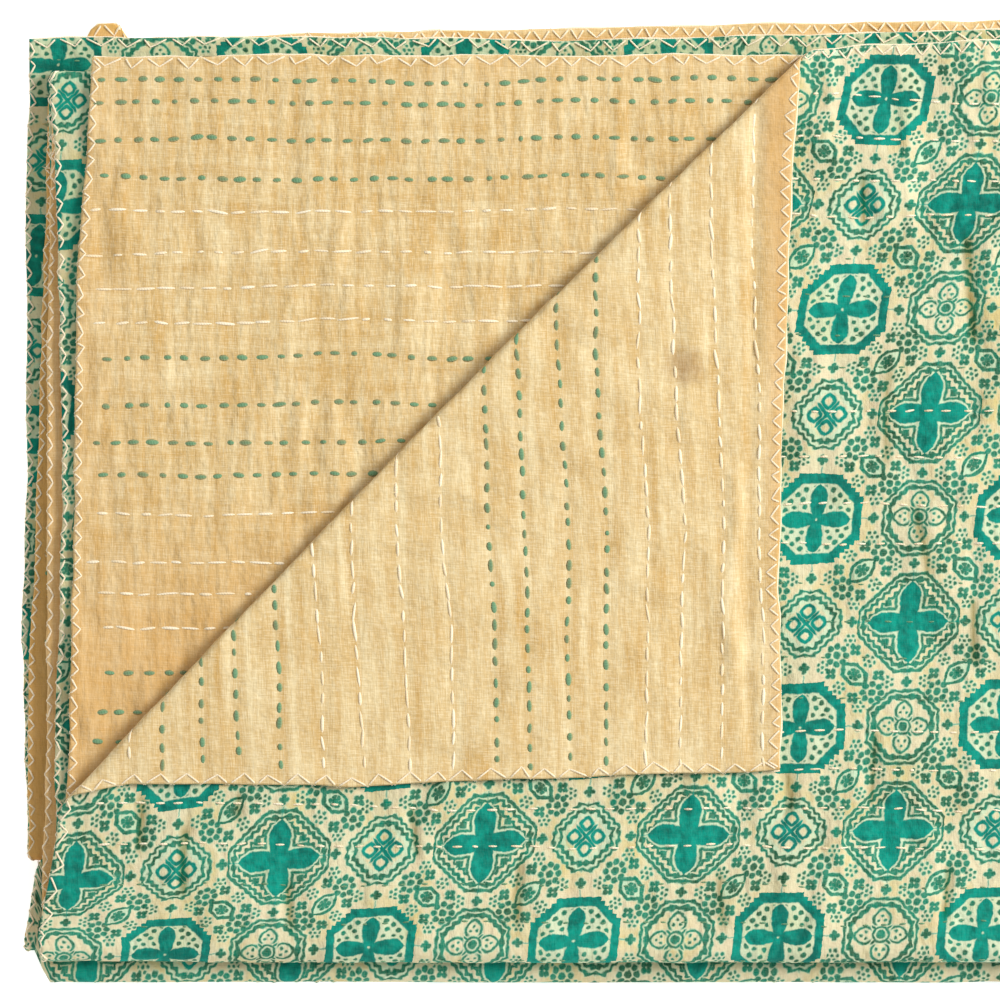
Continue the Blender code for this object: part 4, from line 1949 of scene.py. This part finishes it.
@dataclass(frozen=True)
class GoldenCotton:
    """Plain golden cotton, unevenly dyed by hand, with slubs in both directions. Lengths are in mm."""

    golden: tuple = linear(219, 191, 138)
    pale: tuple = linear(237, 217, 170)
    deep: tuple = linear(206, 168, 104)
    thread_deep: tuple = linear(186, 150, 88)
    thread_pale: tuple = linear(248, 234, 200)
    # Hem and rim stains are drawn towards this brown, and so is the painted shadow of the turned corner on
    # the layer below it.
    hem: tuple = linear(212, 162, 96)
    # The browner colour that the under half is drawn towards, more so towards its side edge.
    under_half_brown: tuple = linear(212, 162, 80)
    smudge: Smudge = Smudge()
    corner: Fade = Fade(-315.0, 20.0)
    patches: Mottle = Mottle(0.05, 0.06, 4.0, 0.6)
    patch_tone: float = 1.2
    streaks: Mottle = Mottle(1.0, 1.0, 3.0, 0.6)
    streak_grains: Pair = (0.3, 0.025)
    corner_turn: float = 0.27
    streak_tone: float = 2.0
    cross_streaks: Mottle = Mottle(0.02, 0.3, 3.0, 0.6, draw=4.0, gain=1.1)
    tone: float = 0.42
    corner_tone: float = 0.14
    threads: Threads = Threads(Mottle(2.4, 0.2, 2.0, 0.7, 1.0), Mottle(0.2, 2.4, 2.0, 0.7, 2.0), 2.6)
    thread_dark_share: float = 0.3
    thread_pale_from: float = 0.6
    thread_pale_share: float = 0.5
    under_edge_browning: Fade = Fade(330.0, 60.0, 0.5)
    under_edge_browning_ragged: float = 60.0
    under: Fade = Fade(0.0, 20.0)
    under_share: float = 0.22
    hem_stain: Fade = Fade(-27.0, 6.0)
    hem_ragged: float = 8.0
    hem_share: float = 0.55
    hem_under: float = 0.45
    rim_ragged: float = 40.0
    side_stain: Fade = Fade(-45.0, 40.0, 0.34)
    end_stain: Fade = Fade(-22.0, 25.0, 0.34)
    # Painted shadow: the layer under the turned corner is browned from 150 mm in from the back of the pack
    # on, towards the crease, where the corner shades it.
    painted_flap_shadow: Fade = Fade(150.0, 60.0, 0.48)
    weave: Weave = Weave(crinkle=3.6, gathers=5.5)
    corner_smooth: float = 0.7
    roughness: float = 0.88
    relief: float = 0.14 * MM

    def dyed(self, desk: Desk, place: Spot, corner: Reading) -> tuple[Colour, Reading, Reading]:
        """The uneven dye and the slubs, and the patches and streaks that the stains follow too.

        The streaks run along the fall, and on the turned corner's part of the cloth along the run.

        Args:
            desk: the material's desk.
            place: the place on the cloth.
            corner: 1 on the turned corner's part, 0 elsewhere.
        Returns:
            The colour, the patches and the streaks.
        """
        turn = corner * self.corner_turn
        across, down = self.streak_grains
        streaks = self.streaks.sway(Spot(place.x * (across - turn), place.y * (turn + down)))
        patches = self.patches.sway(place)
        tone = patches * self.patch_tone + streaks * self.streak_tone + self.cross_streaks.sway(place)
        tone = tone + corner * self.corner_tone + self.tone
        stops = [(0.0, self.deep), (0.5, self.golden), (1.0, self.pale)]
        colour = desk.node("ShaderNodeValToRGB", {"stops": stops}, {0: tone.clamp()}).outputs[0]
        thread = self.threads.share(place)
        colour = desk.blend(thread * self.thread_dark_share, colour, self.thread_deep)
        pale = (self.thread_pale_from - thread).clamp() * self.thread_pale_share
        return desk.blend(pale, colour, self.thread_pale), patches, streaks

    def material(self, plan: FoldPlan) -> bpy.types.Material:
        """The backing.

        Args:
            plan: where the folds and edges lie.
        Returns:
            The material.
        """
        desk = Desk("golden_cotton_finish")
        place = desk.cloth()
        run, fall = place.x, place.y
        corner = self.corner.share(0.0 - fall)
        colour, patches, streaks = self.dyed(desk, place, corner)
        colour = desk.blend(self.smudge.share(place, plan), colour, self.smudge.colour)
        past_seam = run - plan.last_fold_run / MM
        # The under half is drawn towards a browner colour all over, and more strongly from 330 mm past the
        # last fold on, towards its side edge.
        under = self.under.share(past_seam)
        under_edge_browning = self.under_edge_browning.share(past_seam + patches * self.under_edge_browning_ragged)
        colour = desk.blend(under_edge_browning + under * self.under_share, colour, self.under_half_brown)
        hem = self.hem_stain.share(streaks * self.hem_ragged - fall)
        hem = hem * (self.hem_share - under * self.hem_under)
        end = plan.flat_spot(0.0, plan.back, Layer.SECOND)[1] / MM
        side = (plan.left_end - plan.last_fold_centre) / MM
        ragged = patches * self.rim_ragged
        rim_stain_and_flap_shadow = self.side_stain.share(ragged + side - run).most(self.end_stain.share(ragged + fall - end))
        # Painted shadow of the turned corner on the layer below it.
        rim_stain_and_flap_shadow = rim_stain_and_flap_shadow.most(self.painted_flap_shadow.share(end - fall) * (1 - corner))
        colour = desk.blend(hem.most(rim_stain_and_flap_shadow * (1 - corner)), colour, self.hem)
        height = self.weave.height(place, 1 - corner * self.corner_smooth)
        return desk.finish(colour, self.roughness, desk.bump(height, self.relief))


@dataclass(frozen=True)
class SewingThread:
    """A loosely plied cotton thread, whose stitches fade into the cloth at their ends."""

    name: str
    light: tuple
    dark: tuple
    sunk: tuple
    in_stitches: bool
    side_fade: float = 0.0
    twist: float = 0.9 * MM
    fuzz_length: float = 0.35 * MM
    fuzz_round: float = 5.0
    ply_share: float = 0.3
    fuzz_share: float = 1.6
    tone: float = 0.2
    stitch_spread: float = 0.7
    end_fade: float = 0.75
    fuzz_fade: float = 0.6
    stitch_fade: float = 0.3
    roughness: float = 0.9
    relief: float = 0.08 * MM
    relief_strength: float = 0.7

    def material(self) -> bpy.types.Material:
        """Two colours in slanting stripes, one for each turn of the ply."""
        desk = Desk(self.name)
        along, around = desk.uv("thread")
        ply = ((along / self.twist + around) * (2 * math.pi)).sine() * 0.5 + 0.5
        fuzz = desk.noise(along / self.fuzz_length, around * self.fuzz_round, 3.0, 0.7)
        share = ply * self.ply_share + (fuzz - 0.5) * self.fuzz_share + self.tone
        if self.in_stitches:
            end, shade = desk.uv("stitch")
            shade = shade - 0.5
            colour = desk.blend((share + shade * self.stitch_spread).clamp(), self.light, self.dark)
            side = (around * (2 * math.pi)).cosine()
            fade = end**3.0 * self.end_fade + side * side * self.side_fade
            fade = (fade + (fuzz - 0.5) * self.fuzz_fade + shade * self.stitch_fade).clamp()
            colour = desk.blend(fade, colour, self.sunk)
        else:
            colour = desk.blend(share.clamp(), self.light, self.dark)
        return desk.finish(colour, self.roughness, desk.bump(ply + fuzz, self.relief, self.relief_strength))


# ---- The studio ------------

@dataclass(frozen=True)
class Lamp:
    """A square soft light turned to the pack: its place and size in metres, and its power in watts."""

    name: str
    place: tuple[float, float, float]
    size: float
    power: float

    def build(self) -> None:
        """Hang the lamp."""
        data = bpy.data.lights.new(self.name, "AREA")
        data.size = self.size
        data.energy = self.power
        lamp = bpy.data.objects.new(self.name, data)
        lamp.location = self.place
        lamp.rotation_euler = (-Vector(self.place)).to_track_quat("-Z", "Y").to_euler()
        bpy.context.scene.collection.objects.link(lamp)


@dataclass(frozen=True)
class Studio:
    """A pale floor, soft light and a camera straight above."""

    camera_height: float = 4.0
    view_width: float = 330 * MM
    sensor_width: float = 36.0
    farthest: float = 50.0
    aim: Pair = (-67.3 * MM, 0.5 * MM)
    floor_half: float = 3.0
    floor_depth: float = 0.1 * MM
    floor_glow: float = 0.62
    floor_colour: tuple = linear(250, 250, 250)
    floor_roughness: float = 0.9
    white: tuple = (1.0, 1.0, 1.0, 1.0)
    sky_strength: float = 0.435
    lamps: tuple[Lamp, ...] = (
        Lamp("key", (2.2, 0.8, 1.9), 1.2, 100.0),
        Lamp("fill", (-1.7, 1.5, 2.2), 2.2, 11.0),
        Lamp("front", (-0.3, -2.4, 0.9), 1.6, 9.0),
    )

    def build(self, top: float) -> None:
        """Set up floor, camera and lights."""
        self.floor()
        self.camera(top)
        for lamp in self.lamps:
            lamp.build()
        self.sky()

    def floor(self) -> None:
        """A plain pale floor under the pack."""
        desk = Desk("floor_finish")
        finish = desk.finish(self.floor_colour, self.floor_roughness)
        shader = finish.node_tree.nodes["Principled BSDF"]
        shader.inputs["Emission Color"].default_value = self.white
        shader.inputs["Emission Strength"].default_value = self.floor_glow
        finish.cycles.emission_sampling = "NONE"
        reach = self.floor_half
        corners = np.array([(-reach, -reach, 0), (reach, -reach, 0), (reach, reach, 0), (-reach, reach, 0)])
        make_piece("floor", corners - (0, 0, self.floor_depth), [[0, 1, 2, 3]], finish)

    def camera(self, top: float) -> None:
        """Look straight down at the pack's left part."""
        data = bpy.data.cameras.new("camera")
        data.sensor_width = self.sensor_width
        data.lens = self.sensor_width * self.camera_height / self.view_width
        data.clip_end = self.farthest
        camera = bpy.data.objects.new("camera", data)
        camera.location = (*self.aim, top + self.camera_height)
        bpy.context.scene.collection.objects.link(camera)
        bpy.context.scene.camera = camera

    def sky(self) -> None:
        """An even pale surrounding."""
        world = bpy.data.worlds.new("studio")
        world.use_nodes = True
        shade = world.node_tree.nodes["Background"]
        shade.inputs["Color"].default_value = self.white
        shade.inputs["Strength"].default_value = self.sky_strength
        bpy.context.scene.world = world
        bpy.context.scene.view_settings.view_transform = "Standard"


# ---- The quilt ------------

@dataclass(frozen=True)
class Quilt:
    """The whole quilt: two cloths and all the threads on them."""

    plan: FoldPlan
    printed_step: float = 1.6 * MM
    backing_step: float = 1.87 * MM
    last_fold_steps: Pair = (1.6 * MM, 2.4 * MM)
    end_step: float = 2.6 * MM
    far_step: float = 12 * MM
    hidden_step: float = 6 * MM
    outer_fold: Pair = (12.7 * MM, 1.1 * MM)
    inner_fold: Pair = (4.2 * MM, 0.7 * MM)
    seen_share: float = 0.62
    end_share: float = 0.1
    ivory_colours: tuple = (linear(250, 237, 209), linear(232, 207, 164))
    ivory_sunk: tuple = linear(238, 218, 178)
    edging_light: tuple = linear(251, 238, 212)
    green_colours: tuple = (linear(118, 158, 120), linear(58, 108, 80))
    golden_sunk: tuple = linear(226, 194, 140)
    bleached: tuple = linear(150, 186, 150)
    side_fade: float = 0.4
    thick: RunningStitch = RunningStitch(5.2 * MM, 1.1 * MM, 0.92 * MM, 0.26, 6, 1.7, 0.17)
    thin: RunningStitch = RunningStitch(6.2 * MM, 0.6 * MM, 0.5 * MM, 0.5, 6, 3.0, 0.24)
    short: RunningStitch = RunningStitch(3.6 * MM, 2.8 * MM, 0.44 * MM, 0.7, 5, 2.4, rings=FEW_RINGS)
    tiny: RunningStitch = RunningStitch(2.4 * MM, 4.2 * MM, 0.34 * MM, 0.7, 5, 2.4, rings=FEW_RINGS)

    def build(self) -> None:
        """Make the cloths and threads, and tie them to the frame."""
        rows = StitchRows(self.plan)
        puckers = Puckers(self.plan, rows)
        printed, backing = self.printed_cloth(puckers), self.golden_cloth(puckers)
        threads = self.sew(rows, puckers)
        for cloth, node, slot in (
            (printed, "printed_face", "printed_cotton"),
            (backing, "plain_backing", "golden_cotton"),
        ):
            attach(cloth, "root")
            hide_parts(node)
        for piece in (printed, backing, *threads):
            LOG.info("%s: %d faces", piece.name, len(piece.data.polygons))

    def rows_of(self, first: float, last: float) -> tuple[Spacing, ...]:
        """Rows of a cloth, with steps for its first quarter and its last; the middle ones are hidden.

        Args:
            first, last: the steps of the first and the last quarter.
        Returns:
            The rows, quarters and folds by turns.
        """
        steps = (first, self.hidden_step, self.hidden_step, last)
        folds = (self.outer_fold, self.inner_fold, self.inner_fold)
        rows = []
        for quarter, step in enumerate(steps):
            start = 2 * quarter
            rows.append(Spacing(start, start + 1, self.plan.back - self.plan.front, step))
            rows += [Spacing(start + 1, start + 2, *fold) for fold in folds[quarter : quarter + 1]]
        return tuple(rows)

    def columns_of(self, step: float, last_fold_step: float, seen: float) -> tuple[Spacing, ...]:
        """Columns of a cloth, close over the seen share of the upper half and by the far side edge.

        Args:
            step: between columns that are seen.
            last_fold_step: between those round the last fold.
            seen: share of the upper half, from the side edge.
        Returns:
            The columns, from side edge to side edge.
        """
        length = self.plan.last_fold_centre - self.plan.left_end
        end = 3 - self.end_share
        unseen = (Spacing(seen, 1, (1 - seen) * length, self.far_step),) if seen < 1 else ()
        return (
            Spacing(0, seen, seen * length, step),
            *unseen,
            Spacing(1, 2, self.plan.last_fold_run, last_fold_step),
            Spacing(2, end, (1 - self.end_share) * length, self.far_step),
            Spacing(end, 3, self.end_share * length, self.end_step),
        )

    def printed_cloth(self, puckers: Puckers) -> bpy.types.Object:
        """Make the printed cloth, close where its first quarter shows.

        Args:
            puckers: its unevenness.
        Returns:
            The cloth.
        """
        fabric = BlockPrint()
        columns = self.columns_of(self.printed_step, self.last_fold_steps[0], 1)
        rows = self.rows_of(self.printed_step, self.hidden_step)
        cloth = Cloth("printed_cloth", Side.PRINTED, self.plan, puckers, columns, rows, ((2.02, 7.1),))
        return cloth.build(
            fabric.material(),
            lambda run, fall: {
                "cloth": np.stack([run, fall], axis=-1),
                "print": fabric.cells(self.plan, run, fall),
                "hollow": puckers.hollows(run, fall),
            },
        )

    def golden_cloth(self, puckers: Puckers) -> bpy.types.Object:
        """Make the backing, close where its turned corner and its last quarter show.

        Args:
            puckers: its unevenness.
        Returns:
            The cloth.
        """
        columns = self.columns_of(self.backing_step, self.last_fold_steps[1], self.seen_share)
        rows = self.rows_of(self.backing_step, self.backing_step)
        cloth = Cloth("golden_cloth", Side.BACKING, self.plan, puckers, columns, rows, ((1.02, 5.98),))
        finish = GoldenCotton().material(self.plan)
        return cloth.build(finish, lambda run, fall: {"cloth": np.stack([run, fall], axis=-1)})

    def sew(self, rows: StitchRows, puckers: Puckers) -> list[bpy.types.Object]:
        """Make the running stitches of each thread on each face, and the edge stitches.

        Args:
            rows: where the rows lie.
            puckers: the cloth that the threads lie on.
        Returns:
            The five pieces.
        """
        last_row = float(rows.falls()[-1])
        seen, face = SewnStretches().patches(self.plan.last_fold_run, last_row)
        edging_colours = (self.edging_light, self.ivory_colours[1], self.golden_sunk)
        green_ends = (self.golden_sunk, True, self.side_fade)
        faint_ends = (self.bleached, True, self.side_fade)
        ivory = SewingThread("ivory_thread_finish", *self.ivory_colours, self.ivory_sunk, True)
        edging = SewingThread("ivory_edging_finish", *edging_colours, False)
        green = SewingThread("green_thread_finish", *self.green_colours, *green_ends)
        faint = SewingThread("faint_green_thread_finish", *self.green_colours, *faint_ends)
        ivory, edging, green, faint = (thread.material() for thread in (ivory, edging, green, faint))
        plans = (
            ("backing_green_stitches", Side.BACKING, Thread.GREEN, self.thick, seen, 101, green),
            ("backing_ivory_stitches", Side.BACKING, Thread.IVORY, self.thin, seen, 103, ivory),
            ("face_green_stitches", Side.PRINTED, Thread.GREEN, self.tiny, face, 105, faint),
            ("face_ivory_stitches", Side.PRINTED, Thread.IVORY, self.short, face, 107, ivory),
        )
        pieces = [
            RunningStitches(name, side, thread, form, self.plan, rows, puckers, patches, seed).build(finish)
            for name, side, thread, form, patches, seed, finish in plans
        ]
        pieces.append(EdgeStitches(self.plan, puckers).build("edge_stitches", edging))
        for piece in pieces:
            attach(piece, "root")
        return pieces


def main() -> None:
    """Build the quilt and its studio, and write the sizes."""
    logging.basicConfig(level=logging.INFO, format="%(name)s %(message)s")
    low, high = CAD_BOX
    Quilt(FoldPlan(low.x, high.x, low.y, high.y)).build()
    Studio().build(high.z)


if __name__ == "__main__":
    main()
